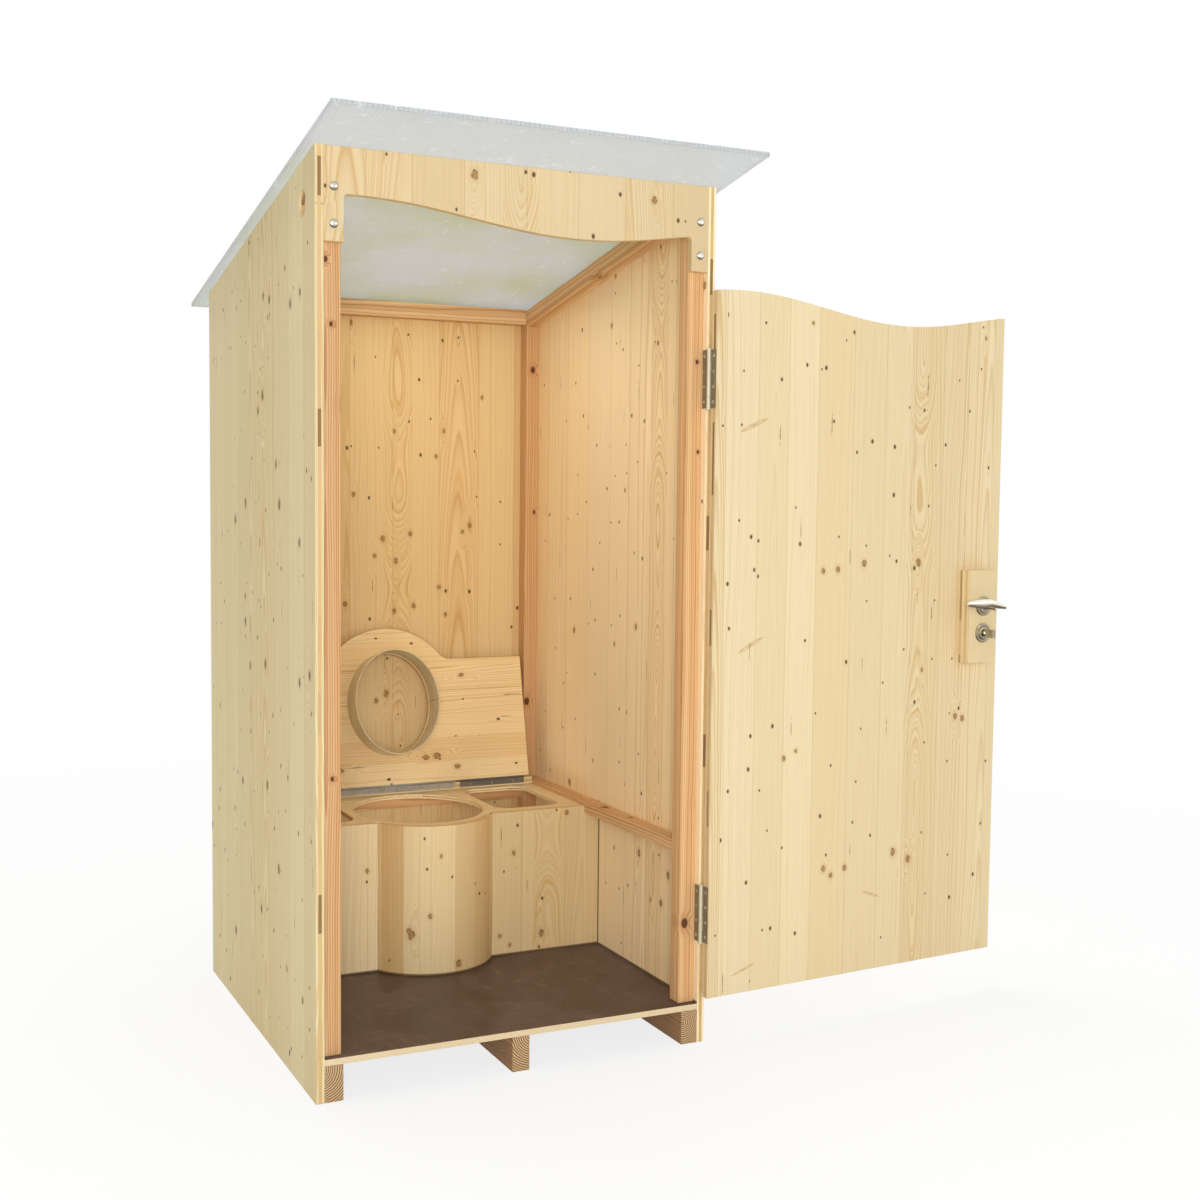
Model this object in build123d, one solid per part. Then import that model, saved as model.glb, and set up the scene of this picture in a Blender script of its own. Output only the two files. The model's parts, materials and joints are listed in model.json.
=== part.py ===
"""Wooden outhouse: a composting-toilet cabin of three-layer spruce panels on a larch frame.

Millimetres. +Z is up, +X is the right-hand side of someone facing the doorway, and the
doorway faces -Y. The origin is at the middle of the footprint, on the ground.
The door stands wide open and the seat lid leans back, which is the rest pose.
"""
from build123d import *
from math import atan, cos, pi, sin
import os

# ---- overall sizes ---------------------------------------------------------------
width = 1000.0          # outside of one side wall to outside of the other
depth = 1084.0          # front edge of the side walls to the back face
front_height = 2126.0   # ground to the top of the side walls, at the front
back_height = 1926.0    # ground to the top of the side walls, at the back

# ---- stock sizes -----------------------------------------------------------------
panel = 20.0            # three-layer spruce panel of the walls, door and lintel
timber = 44.0           # square larch post or rail
joist_width = 44.0
joist_height = 85.0
floor_board = 15.0      # film-faced plywood
roof_sheet_thick = 10.0
lid_board = 16.0
seat_board = 12.0
collar_wall = 2.0
leaf = 2.0              # steel of a hinge leaf

# ---- roof ------------------------------------------------------------------------
front_overhang = 207.0
back_overhang = 132.0
side_overhang = 22.0
rail_drop = 10.0        # top rails lie this far under the roof sheet

# ---- vent holes and joist bolts in the side walls ----------------------------------
vent_radius = 30.0
vent_from_front = 102.0
vent_below_top = 112.0
bolt_recess_radius = 8.0
bolt_recess_depth = 9.0
bolt_rows = (231.0, 859.0)      # distance of the joist bolts from the front

# ---- lintel ----------------------------------------------------------------------
lintel_leg = 46.0               # width of each end that is bolted to a post
lintel_leg_depth = 206.0        # height of each end
lintel_neck = 102.0             # board left above the crest of the wave
lintel_wave = 52.0              # crest to trough
lintel_crest_from_left = 100.0
lintel_half_wave = 536.0
lintel_corner = 9.0

# ---- door ------------------------------------------------------------------------
door_hinge_gap = 5.0            # filled by the two hinge leaves
door_free_gap = 6.0
door_stop_gap = 5.0             # between the closed door and the posts behind it
door_floor_gap = 21.0
door_head = 246.5               # crest of the wavy top to the top of the walls
door_wave = 54.5
door_crest_from_hinge = 88.0
door_half_wave = 504.0
door_open_angle = 184.3

# ---- door hinges -------------------------------------------------------------------
hinge_height = 142.0
hinge_knuckle_radius = 5.0
hinge_pin_radius = 3.0
hinge_leaf_reach = 16.0         # how far a leaf runs back from the front plane
hinge_pin_beyond = 1.0          # pin centre past the inner face of the wall
hinge_from_bottom = 210.0       # door's bottom edge to the middle of the lower hinge
hinge_from_crest = 218.5        # door's crest to the middle of the upper hinge
hinge_knuckles = 5
hinge_pin_head = 4.0
hinge_slack = 0.4               # between the knuckles of the two leaves
pin_fit = 0.1                   # running clearance round the hinge pins

# ---- lock block, lever handle and thumb turn ----------------------------------------
block_width = 98.0
block_height = 252.0
block_bottom = 931.0
block_post_gap = 7.0
rose_radius = 26.0
rose_thick = 8.0
lock_from_free_edge = 45.0      # free edge of the block to the handle's centre line
lever_height = 1086.0
turn_height = 1013.0
lever_neck_radius = 9.0
lever_reach = 48.0              # rose face to the middle of the grip
lever_tail = (-29.0, 0.0)       # top edge of the grip: along the door and up, from the neck
lever_crown = (46.0, 23.5)
lever_tip = (109.0, 17.0)
lever_belly = -7.5              # straight lower edge of the grip, beside the neck
lever_belly_end = 20.0          # from here the lower edge rises to the tip
grip_end_height = 13.0
grip_thick = 12.0
grip_round = 3.5
turn_stem_radius = 8.0
turn_stem_length = 8.0
turn_wing_height = 22.0
turn_wing_thick = 10.0
turn_wing_reach = 28.0
turn_fit = 0.3                  # clearance round a turning neck or stem

# ---- seat box ----------------------------------------------------------------------
box_depth = 487.0               # back wall to the flat front of the box
box_centre_offset = -7.0
bulge_radius = 184.0
bulge_rise = 99.0               # how far the round front stands out of the flat one
seat_top = 500.0
seat_rail_under = 480.0
seat_rail_height = 30.0
seat_hole_side_web = 7.0        # round front to the widest part of the oval hole
seat_hole_half_length = 203.0
seat_hole_back = 151.0          # flat front of the box to the middle of the oval hole
side_hole_web = 26.0            # board left between the oval hole and a side hole
side_hole_margin = 38.0         # board left beside the rail
side_hole_front = 52.0          # flat front of the box to a side hole
side_hole_back = 135.0          # a side hole to the back wall
side_hole_corner = 48.0

# ---- seat lid ------------------------------------------------------------------------
lid_side_gap = 5.2
lid_seat_gap = 5.0
lid_front_inset = 7.5           # the box's flat front to the lid's flat front
lid_bulge_radius = 210.5
lid_bulge_inset = 11.0          # the box's round front to the lid's round front
lid_shoulder = 40.0
lid_lean = 12.5                 # degrees past upright when the lid is raised
lid_strip_depth = 116.0         # back wall to the hinge pin
lid_knuckle_radius = 3.0
lid_pin_radius = 1.4
lid_leaf = 1.2
lid_leaf_height = 16.0
lid_leaf_offset = 1.3           # pin's middle plane to each leaf
lid_leaf_slack = 0.3            # between neighbouring knuckles
lid_knuckle_pitch = 45.0        # about, along a hinge
lid_hinge_inset = 9.0           # each end of the lid to the hinge
lid_hinge_short = 206.0         # the hinge is laid in a long and a short length
lid_hinge_joint = 15.0
oval_half_width = 121.5
oval_half_length = 147.0
oval_back = 133.5               # flat front of the box to the middle of the oval
collar_depth = 82.0

# ---- places worked out from the sizes above --------------------------------------------
half_width = width / 2
inner_x = half_width - panel
front_y = -depth / 2
back_y = depth / 2
back_inner_y = back_y - panel
post_front_y = front_y + panel
post_inner_x = inner_x - timber
floor_top = joist_height + floor_board
roof_slope = (front_height - back_height) / depth
roof_angle = atan(roof_slope)
seat_under = seat_top - seat_board
box_front_y = back_inner_y - box_depth
seat_hole_y = box_front_y + seat_hole_back
seat_hole_half_width = bulge_radius - seat_hole_side_web
oval_y = box_front_y + oval_back
box_x = box_centre_offset


def box_between(x_span, y_span, z_span):
    """A block from its lowest to its highest coordinate on each axis."""
    size = [high - low for low, high in (x_span, y_span, z_span)]
    middle = [(low + high) / 2 for low, high in (x_span, y_span, z_span)]
    return Pos(*middle) * Box(*size)


def along_x(points, x_span):
    """A prism along X whose section is a list of (y, z) points."""
    section = make_face(Plane.YZ * Polyline(*points, close=True))
    return Pos(x_span[0], 0, 0) * extrude(section, x_span[1] - x_span[0], dir=(1, 0, 0))


def along_y(outline, y_span):
    """A prism along Y of a closed outline drawn in x and z."""
    face = make_face(Plane.XZ * outline)
    return Pos(0, y_span[0], 0) * extrude(face, y_span[1] - y_span[0], dir=(0, 1, 0))


def upright(outline, z_span):
    """A prism along Z of a closed outline drawn in x and y."""
    return Pos(0, 0, z_span[0]) * extrude(make_face(outline), z_span[1] - z_span[0], dir=(0, 0, 1))


def rod(radius, length, centre, axis):
    """A round bar of that length about a centre, along the given axis."""
    return Plane(origin=centre, z_dir=axis) * Cylinder(radius, length)


def roof_z(y):
    """Height of the underside of the roof sheet over a point at depth y."""
    return front_height - roof_slope * (y - front_y)


def both_sides(right_shape):
    """The same piece on the left side and on the right side."""
    return {"left": mirror(right_shape, Plane.YZ), "right": right_shape}


def wave_line(start_x, end_x, crest_x, half_wave, crest_z, drop):
    """A gentle cosine edge between two x positions, as one spline."""
    steps = 12
    points = []
    for step in range(steps + 1):
        x = start_x + (end_x - start_x) * step / steps
        z = crest_z - drop / 2 * (1 - cos(pi * (x - crest_x) / half_wave))
        points.append((x, z))
    return points, Spline(*points)


# ---- shell: walls, floor, joists ----------------------------------------------------------
def make_walls():
    side = along_x(
        [(front_y, 0), (back_y, 0), (back_y, back_height), (front_y, front_height)],
        (inner_x, half_width))
    vent_y = front_y + vent_from_front
    side -= rod(vent_radius, 3 * panel, (inner_x, vent_y, front_height - vent_below_top), (1, 0, 0))
    for from_front in bolt_rows:
        recess_x = half_width - bolt_recess_depth / 2
        side -= rod(bolt_recess_radius, bolt_recess_depth,
                    (recess_x, front_y + from_front, joist_height / 2), (1, 0, 0))
    walls = both_sides(side)
    back = along_x(
        [(back_inner_y, 0), (back_y, 0), (back_y, roof_z(back_y)), (back_inner_y, roof_z(back_inner_y))],
        (-inner_x, inner_x))
    return {"left_wall": walls["left"], "right_wall": walls["right"], "back_wall": back}


def make_base():
    joist_y = (front_y, back_inner_y)
    joist_z = (0, joist_height)
    outer = both_sides(box_between((inner_x - joist_width, inner_x), joist_y, joist_z))
    return {
        "left_joist": outer["left"],
        "middle_joist": box_between((-joist_width / 2, joist_width / 2), joist_y, joist_z),
        "right_joist": outer["right"],
        "floor_panel": box_between((-inner_x, inner_x), joist_y, (joist_height, floor_top)),
    }


# ---- larch frame ----------------------------------------------------------------------------
def rail_top(y):
    return roof_z(y) - rail_drop


def rail_under(y):
    return rail_top(y) - timber / cos(roof_angle)


def post(y_span):
    """A post on the floor in a right-hand corner, cut to the slope of the rail above it."""
    low, high = y_span
    section = [(low, floor_top), (high, floor_top), (high, rail_under(high)), (low, rail_under(low))]
    return along_x(section, (post_inner_x, inner_x))


def make_frame():
    front_posts = both_sides(post((post_front_y, post_front_y + timber)))
    back_posts = both_sides(post((back_inner_y - timber, back_inner_y)))
    top_rail = along_x(
        [(post_front_y, rail_under(post_front_y)), (back_inner_y, rail_under(back_inner_y)),
         (back_inner_y, rail_top(back_inner_y)), (post_front_y, rail_top(post_front_y))],
        (post_inner_x, inner_x))
    top_rails = both_sides(top_rail)
    seat_rail = box_between(
        (post_inner_x, inner_x), (post_front_y + timber, back_inner_y - timber),
        (seat_rail_under, seat_rail_under + seat_rail_height))
    seat_rails = both_sides(seat_rail)
    back_rail_top = roof_z(back_inner_y)
    back_rail_y = (back_inner_y - timber, back_inner_y)
    between_posts = (-post_inner_x, post_inner_x)
    return {
        "front_left_post": front_posts["left"],
        "front_right_post": front_posts["right"],
        "back_left_post": back_posts["left"],
        "back_right_post": back_posts["right"],
        "left_top_rail": top_rails["left"],
        "right_top_rail": top_rails["right"],
        "back_top_rail": box_between(between_posts, back_rail_y, (back_rail_top - timber, back_rail_top)),
        "left_seat_rail": seat_rails["left"],
        "right_seat_rail": seat_rails["right"],
        "back_seat_rail": box_between(between_posts, back_rail_y, (seat_under - timber, seat_under)),
    }


# ---- roof sheet and lintel ---------------------------------------------------------------------
def make_roof():
    low_y = front_y - front_overhang
    high_y = back_y + back_overhang
    lift_y = roof_sheet_thick * sin(roof_angle)
    lift_z = roof_sheet_thick * cos(roof_angle)
    section = [(low_y, roof_z(low_y)), (high_y, roof_z(high_y)),
               (high_y + lift_y, roof_z(high_y) + lift_z), (low_y + lift_y, roof_z(low_y) + lift_z)]
    reach = half_width + side_overhang
    return {"roof_sheet": along_x(section, (-reach, reach))}


def make_lintel():
    left_leg = -inner_x + lintel_leg
    right_leg = inner_x - lintel_leg
    foot_z = front_height - lintel_leg_depth
    points, wave = wave_line(left_leg, right_leg, -half_width + lintel_crest_from_left,
                             lintel_half_wave, front_height - lintel_neck, lintel_wave)
    rest = Polyline(points[-1], (right_leg, foot_z), (inner_x, foot_z), (inner_x, front_height),
                    (-inner_x, front_height), (-inner_x, foot_z), (left_leg, foot_z), points[0])
    board = along_y(wave + rest, (front_y, post_front_y))
    inner_corners = [edge for edge in board.edges().filter_by(Axis.Y)
                     if abs(abs(edge.center().X) - right_leg) < 1 and edge.center().Z > foot_z + panel]
    board = fillet(inner_corners, lintel_corner)
    above_roof = along_x(
        [(front_y, roof_z(front_y)), (post_front_y + 1, roof_z(post_front_y + 1)),
         (post_front_y + 1, front_height + panel), (front_y, front_height + panel)],
        (-half_width, half_width))
    return {"lintel": board - above_roof}


# ---- door: drawn closed, then swung open about its hinge pin --------------------------------------
door_inner_y = post_front_y - door_stop_gap
door_outer_y = door_inner_y - panel
door_hinge_x = inner_x - door_hinge_gap
door_free_x = -inner_x + door_free_gap
door_bottom = floor_top + door_floor_gap
door_crest = front_height - door_head
hinge_centres = (door_bottom + hinge_from_bottom, door_crest - hinge_from_crest)
pin_x = inner_x + hinge_pin_beyond
pin_y = door_outer_y - hinge_knuckle_radius
door_axis = Axis((pin_x, pin_y, 0), (0, 0, 1))


def swing_open(shape):
    return shape.rotate(door_axis, door_open_angle)


def make_door():
    points, wave = wave_line(door_free_x, door_hinge_x, door_hinge_x - door_crest_from_hinge,
                             door_half_wave, door_crest, door_wave)
    rest = Polyline(points[-1], (door_hinge_x, door_bottom), (door_free_x, door_bottom), points[0])
    board = along_y(wave + rest, (door_outer_y, door_inner_y))
    for bore_z, radius in ((lever_height, lever_neck_radius), (turn_height, turn_stem_radius)):
        board -= rod(radius + turn_fit, 3 * panel, (lock_x, door_inner_y, bore_z), (0, 1, 0))
    return {"door_panel": swing_open(board)}


def every_second_band(shape, axis, span, count, first, slack):
    """What a shape has inside every second of several equal bands along an axis."""
    pitch = (span[1] - span[0]) / count
    reach = (-2 * front_height, 2 * front_height)
    kept = None
    for index in range(first, count, 2):
        low = span[0] + index * pitch + slack / 2
        band = (low, low + pitch - slack)
        block = box_between(band if axis == "x" else reach, reach, band if axis == "z" else reach)
        piece = shape & block
        kept = piece if kept is None else kept + piece
    return kept


def barrel_leaf(strip, axis, span, count, first, centre, radii, slack):
    """A hinge leaf that meets its barrel only at its own knuckles."""
    barrel_radius, hole_radius = radii
    along = (1, 0, 0) if axis == "x" else (0, 0, 1)
    length = span[1] - span[0]
    barrel = rod(barrel_radius, length, centre, along)
    clear = rod(barrel_radius + slack, length + 2, centre, along)
    hole = rod(hole_radius, length + 2, centre, along)
    near = rod(3 * barrel_radius, length + 2, centre, along)
    own = every_second_band((strip & near) + barrel, axis, span, count, first, slack)
    return (strip - clear) + own - hole


def make_hinge(name, height):
    z_span = (height - hinge_height / 2, height + hinge_height / 2)
    centre = (pin_x, pin_y, height)
    wall_strip = box_between((inner_x - leaf, inner_x), (pin_y, front_y + hinge_leaf_reach), z_span)
    wall_leaf = barrel_leaf(wall_strip, "z", z_span, hinge_knuckles, 0, centre,
                            (hinge_knuckle_radius, hinge_pin_radius), hinge_slack)
    door_strip = box_between((door_hinge_x, door_hinge_x + leaf), (pin_y, door_inner_y - leaf), z_span)
    door_leaf = barrel_leaf(door_strip, "z", z_span, hinge_knuckles, 1, centre,
                            (hinge_knuckle_radius, hinge_pin_radius + pin_fit), hinge_slack)
    wall_leaf += rod(hinge_pin_radius, hinge_height, centre, (0, 0, 1))
    for side in (-1, 1):
        head_z = height + side * (hinge_height + hinge_pin_head) / 2
        wall_leaf += rod(hinge_knuckle_radius, hinge_pin_head, (pin_x, pin_y, head_z), (0, 0, 1))
    return {f"{name}_hinge_wall_leaf": wall_leaf,
            f"{name}_hinge_door_leaf": swing_open(door_leaf)}


# ---- lock block, lever handle and thumb turn, drawn on the closed door ---------------------------------
block_free_x = -post_inner_x + block_post_gap
block_hinge_x = block_free_x + block_width
lock_x = block_free_x + lock_from_free_edge
block_face_y = door_inner_y + 2 * panel


def make_lock_block():
    x_span = (block_free_x, block_hinge_x)
    z_span = (block_bottom, block_bottom + block_height)
    layers = {}
    for name, layer in (("lock_block_base", 0), ("lock_block_cover", 1)):
        low_y = door_inner_y + layer * panel
        piece = box_between(x_span, (low_y, low_y + panel), z_span)
        for bore_z, radius in ((lever_height, lever_neck_radius), (turn_height, turn_stem_radius)):
            piece -= rod(radius + turn_fit, 3 * panel, (lock_x, low_y, bore_z), (0, 1, 0))
        layers[name] = swing_open(piece)
    return layers


def rose(face_y, outward, height, hole_radius):
    middle_y = face_y + outward * rose_thick / 2
    disc = rod(rose_radius, rose_thick, (lock_x, middle_y, height), (0, 1, 0))
    rim = [edge for edge in disc.edges().filter_by(GeomType.CIRCLE)
           if abs(edge.center().Y - (face_y + outward * rose_thick)) < 0.1]
    disc = chamfer(rim, rose_thick / 4)
    return disc - rod(hole_radius + turn_fit, 3 * rose_thick, (lock_x, middle_y, height), (0, 1, 0))


def grip(face_y, outward):
    """A bowed lever grip that crosses its neck and points to the hinge side."""
    grip_y = face_y + outward * (rose_thick + lever_reach)
    bow = [(lock_x + along, lever_height + up) for along, up in (lever_tail, lever_crown, lever_tip)]
    belly_z = lever_height + lever_belly
    lower = [bow[2], (bow[2][0], bow[2][1] - grip_end_height), (lock_x + lever_belly_end, belly_z),
             (bow[0][0], belly_z), bow[0]]
    outline = ThreePointArc(*bow) + Polyline(*lower)
    plate = along_y(outline, (grip_y - grip_thick / 2, grip_y + grip_thick / 2))
    rims = [edge for edge in plate.edges() if abs(abs(edge.center().Y - grip_y) - grip_thick / 2) < 0.01]
    return fillet(rims, grip_round)


def make_lever():
    inner_end = block_face_y + rose_thick + lever_reach
    outer_end = door_outer_y - rose_thick - lever_reach
    shaft = rod(lever_neck_radius, inner_end - outer_end,
                (lock_x, (inner_end + outer_end) / 2, lever_height), (0, 1, 0))
    lever = shaft + grip(block_face_y, 1) + grip(door_outer_y, -1)
    return {
        "inner_handle_rose": swing_open(rose(block_face_y, 1, lever_height, lever_neck_radius)),
        "outer_handle_rose": swing_open(rose(door_outer_y, -1, lever_height, lever_neck_radius)),
        "lever_handle": swing_open(lever),
    }


def make_turn():
    stem_end = block_face_y + rose_thick + turn_stem_length
    outer_end = door_outer_y - rose_thick
    stem = rod(turn_stem_radius, stem_end - outer_end,
               (lock_x, (stem_end + outer_end) / 2, turn_height), (0, 1, 0))
    wing = box_between(
        (lock_x - turn_wing_thick / 2, lock_x + turn_wing_thick / 2),
        (stem_end - 1, stem_end + turn_wing_reach),
        (turn_height - turn_wing_height / 2, turn_height + turn_wing_height / 2))
    outer_ends = [edge for edge in wing.edges().filter_by(Axis.X) if edge.center().Y > stem_end]
    wing = fillet(outer_ends, turn_wing_thick / 2)
    return {
        "inner_turn_rose": swing_open(rose(block_face_y, 1, turn_height, turn_stem_radius)),
        "outer_turn_rose": swing_open(rose(door_outer_y, -1, turn_height, turn_stem_radius)),
        "thumb_turn": swing_open(stem + wing),
    }


# ---- seat box ----------------------------------------------------------------------------------------
bulge_y = box_front_y - bulge_rise + bulge_radius


def chord_half(radius, from_centre):
    return (radius ** 2 - from_centre ** 2) ** 0.5


def make_box():
    z_span = (floor_top, seat_top)
    shoulder = chord_half(bulge_radius, bulge_y - box_front_y)
    panel_y = (box_front_y, box_front_y + panel)
    ring = rod(bulge_radius, z_span[1] - z_span[0], (box_x, bulge_y, sum(z_span) / 2), (0, 0, 1))
    ring -= rod(bulge_radius - panel, z_span[1], (box_x, bulge_y, sum(z_span) / 2), (0, 0, 1))
    front_half = box_between((-half_width, half_width), (box_front_y - 2 * bulge_rise, box_front_y),
                             (0, seat_top))
    flats = {
        "box_left_panel": box_between((-inner_x, box_x - shoulder), panel_y, z_span),
        "box_right_panel": box_between((box_x + shoulder, inner_x), panel_y, z_span),
    }
    for name, (low_x, high_x) in (("box_left_panel", (-inner_x, -post_inner_x)),
                                  ("box_right_panel", (post_inner_x, inner_x))):
        flats[name] -= box_between((low_x, high_x), panel_y, (seat_rail_under, seat_top))
    return {**flats, "box_round_front": ring & front_half}


def side_hole(side):
    """One of the two rounded holes beside the middle one."""
    front = box_front_y + side_hole_front
    back = back_inner_y - side_hole_back
    near = box_x + side * (seat_hole_half_width + side_hole_web)
    far = box_x + side * (post_inner_x - side_hole_margin)
    size_x = abs(far - near)
    size_y = back - front
    outline = RectangleRounded(size_x, size_y, side_hole_corner)
    cutter = Pos((near + far) / 2, (front + back) / 2, seat_under - 1) * outline
    return extrude(cutter, seat_board + 2, dir=(0, 0, 1))


def make_seat_top():
    z_span = (seat_under, seat_top)
    plate = box_between((-post_inner_x, post_inner_x), (box_front_y + panel, back_inner_y), z_span)
    disc = rod(bulge_radius - panel, seat_board, (box_x, bulge_y, sum(z_span) / 2), (0, 0, 1))
    plate += disc & box_between((-half_width, half_width), (bulge_y - bulge_radius, back_inner_y), z_span)
    for side in (-1, 1):
        plate -= side_hole(side)
    plate -= oval(seat_hole_y, seat_hole_half_width, seat_hole_half_length, (seat_under - 1, seat_top + 1))
    strip_front = lid_pin_y + lid_leaf + lid_leaf_offset
    strip = box_between((-post_inner_x, post_inner_x), (strip_front, back_inner_y), (seat_top, lid_top))
    return {"seat_top_board": plate, "seat_hinge_strip": strip}


# ---- seat lid: drawn lying down, then raised until it leans back on the wall ----------------------------
lid_under = seat_top + lid_seat_gap
lid_top = lid_under + lid_board
lid_pin_y = back_inner_y - lid_strip_depth
lid_pin_z = lid_top + lid_knuckle_radius + lid_leaf_slack
lid_back_y = lid_pin_y - lid_leaf - lid_leaf_offset
lid_half_length = post_inner_x + box_x - lid_side_gap
lid_bulge_y = bulge_y - bulge_radius + lid_bulge_inset + lid_bulge_radius
lid_axis = Axis((0, lid_pin_y, lid_pin_z), (1, 0, 0))


def raise_lid(shape):
    return shape.rotate(lid_axis, -90 - lid_lean)


def oval(middle_y, half_x, half_y, z_span):
    face = Pos(box_x, middle_y) * Ellipse(half_x, half_y)
    return Pos(0, 0, z_span[0]) * extrude(face, z_span[1] - z_span[0])


def make_lid():
    flat_front = box_front_y + lid_front_inset
    z_span = (lid_under, lid_top)
    board = box_between((box_x - lid_half_length, box_x + lid_half_length),
                        (flat_front, lid_back_y), z_span)
    nose = rod(lid_bulge_radius, lid_board, (box_x, lid_bulge_y, sum(z_span) / 2), (0, 0, 1))
    board += nose & box_between((-half_width, half_width), (-half_width, lid_bulge_y), z_span)
    shoulder = chord_half(lid_bulge_radius, lid_bulge_y - flat_front)
    inner_corners = [edge for edge in board.edges().filter_by(Axis.Z)
                     if abs(abs(edge.center().X - box_x) - shoulder) < 1
                     and abs(edge.center().Y - flat_front) < 1]
    board = fillet(inner_corners, lid_shoulder)
    board -= oval(oval_y, oval_half_width, oval_half_length, (lid_under - 1, lid_top + 1))
    collar_span = (lid_under - collar_depth, lid_under)
    collar = oval(oval_y, oval_half_width + 2 * collar_wall, oval_half_length + 2 * collar_wall, collar_span)
    collar -= oval(oval_y, oval_half_width + collar_wall, oval_half_length + collar_wall,
                   (collar_span[0] - 1, collar_span[1] + 1))
    return {"seat_lid": raise_lid(board), "seat_collar": raise_lid(collar)}


def make_lid_hinge():
    inner_face = lid_pin_y - lid_leaf_offset
    outer_face = lid_pin_y + lid_leaf_offset
    leaf_z = (lid_top - lid_leaf_height, lid_pin_z)
    start = box_x - lid_half_length + lid_hinge_inset
    end = box_x + lid_half_length - lid_hinge_inset
    split = end - lid_hinge_short
    spans = {"long": (start, split - lid_hinge_joint), "short": (split, end)}
    pieces = {}
    for name, span in spans.items():
        count = 2 * round((span[1] - span[0]) / lid_knuckle_pitch / 2) + 1
        centre = (sum(span) / 2, lid_pin_y, lid_pin_z)
        fixed = barrel_leaf(box_between(span, (outer_face, outer_face + lid_leaf), leaf_z), "x", span,
                            count, 0, centre, (lid_knuckle_radius, lid_pin_radius), lid_leaf_slack)
        moving = barrel_leaf(box_between(span, (inner_face - lid_leaf, inner_face), leaf_z), "x", span,
                             count, 1, centre, (lid_knuckle_radius, lid_pin_radius + pin_fit), lid_leaf_slack)
        fixed += rod(lid_pin_radius, span[1] - span[0], centre, (1, 0, 0))
        pieces[f"{name}_lid_hinge_fixed_leaf"] = fixed
        pieces[f"{name}_lid_hinge_moving_leaf"] = raise_lid(moving)
    return pieces


def main():
    os.makedirs("parts", exist_ok=True)
    pieces = {}
    for make in (make_walls, make_base, make_frame, make_roof, make_lintel, make_door,
                 make_lock_block, make_lever, make_turn, make_box, make_seat_top, make_lid, make_lid_hinge):
        pieces.update(make())
    for name, height in zip(("lower", "upper"), hinge_centres):
        pieces.update(make_hinge(name, height))
    for name, piece in pieces.items():
        piece.label = name
        export_step(piece, f"parts/{name}.step")
        print(name, len(piece.solids()), round(piece.volume))


main()
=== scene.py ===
# %% [markdown]
# # A wooden outhouse
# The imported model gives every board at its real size, in metres: +Z is up, +X is to the right of
# someone facing the doorway, and the doorway faces -Y. This file keeps that frame. It rounds the
# board edges, adds the fittings that only the eye needs, and builds every surface from nodes.

# %% Load the frame
import json
import math
from types import SimpleNamespace

import bmesh
import bpy
from mathutils import Matrix, Vector

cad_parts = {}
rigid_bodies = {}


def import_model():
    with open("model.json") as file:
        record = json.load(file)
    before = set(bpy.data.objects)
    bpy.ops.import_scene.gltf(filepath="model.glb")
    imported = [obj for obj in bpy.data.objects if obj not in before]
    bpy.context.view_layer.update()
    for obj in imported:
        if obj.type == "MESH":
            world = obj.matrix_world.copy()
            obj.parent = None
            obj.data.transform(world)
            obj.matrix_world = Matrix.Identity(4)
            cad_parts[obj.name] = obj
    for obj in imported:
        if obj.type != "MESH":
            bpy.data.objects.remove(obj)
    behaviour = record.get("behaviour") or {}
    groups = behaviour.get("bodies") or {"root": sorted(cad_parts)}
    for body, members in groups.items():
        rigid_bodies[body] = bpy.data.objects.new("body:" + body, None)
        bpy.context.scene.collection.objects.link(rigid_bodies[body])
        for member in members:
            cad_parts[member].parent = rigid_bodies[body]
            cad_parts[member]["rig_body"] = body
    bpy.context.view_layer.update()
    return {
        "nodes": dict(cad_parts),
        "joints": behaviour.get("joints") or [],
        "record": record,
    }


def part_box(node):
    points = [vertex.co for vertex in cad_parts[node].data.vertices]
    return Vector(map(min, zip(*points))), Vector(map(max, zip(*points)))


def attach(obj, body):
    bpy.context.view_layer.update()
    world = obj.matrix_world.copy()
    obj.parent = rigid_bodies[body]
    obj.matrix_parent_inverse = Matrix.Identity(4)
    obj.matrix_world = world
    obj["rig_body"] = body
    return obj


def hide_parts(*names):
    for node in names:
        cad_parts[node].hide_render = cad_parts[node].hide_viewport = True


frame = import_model()
scene = bpy.context.scene
MM = 0.001
X, Y, Z = Vector((1, 0, 0)), Vector((0, 1, 0)), Vector((0, 0, 1))

# %% [markdown]
# The camera comes first, because everything after it is judged through it. It stands a little
# over four metres away, left of the doorway and at chest height, and is turned towards the cabin.
# A 46.6 mm lens on a 36 mm wide sensor keeps the uprights nearly parallel.

# %% Camera
CAMERA_PLACE = Vector((-1.42797, -3.87992, 1.37300))
YAW, PITCH, ROLL = -0.4529, -0.0669, 0.0107
camera_data = bpy.data.cameras.new("camera")
camera_data.lens = 46.6
camera_data.sensor_width = 36
camera = bpy.data.objects.new("camera", camera_data)
scene.collection.objects.link(camera)
turns = ((YAW, "Z"), (math.pi / 2 + PITCH, "X"), (ROLL, "Z"))
yaw, pitch, roll = (Matrix.Rotation(angle, 4, axis) for angle, axis in turns)
camera.matrix_world = Matrix.Translation(CAMERA_PLACE) @ yaw @ pitch @ roll
scene.camera = camera
print("camera at", tuple(round(v, 3) for v in camera.location))

# %% [markdown]
# Colours are written as hex, the way a paint chart gives them, and one function turns them into
# the linear values that light is reckoned in. One small function adds a shader node: its settings
# by name, and its inputs as numbers, colours or the nodes that feed them.

# %% Helpers for colours and nodes
def linear(code):
    values = [int(code[i:i + 2], 16) / 255 for i in (0, 2, 4)]
    return tuple(v / 12.92 if v <= 0.04045 else ((v + 0.055) / 1.055) ** 2.4 for v in values) + (1,)


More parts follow.
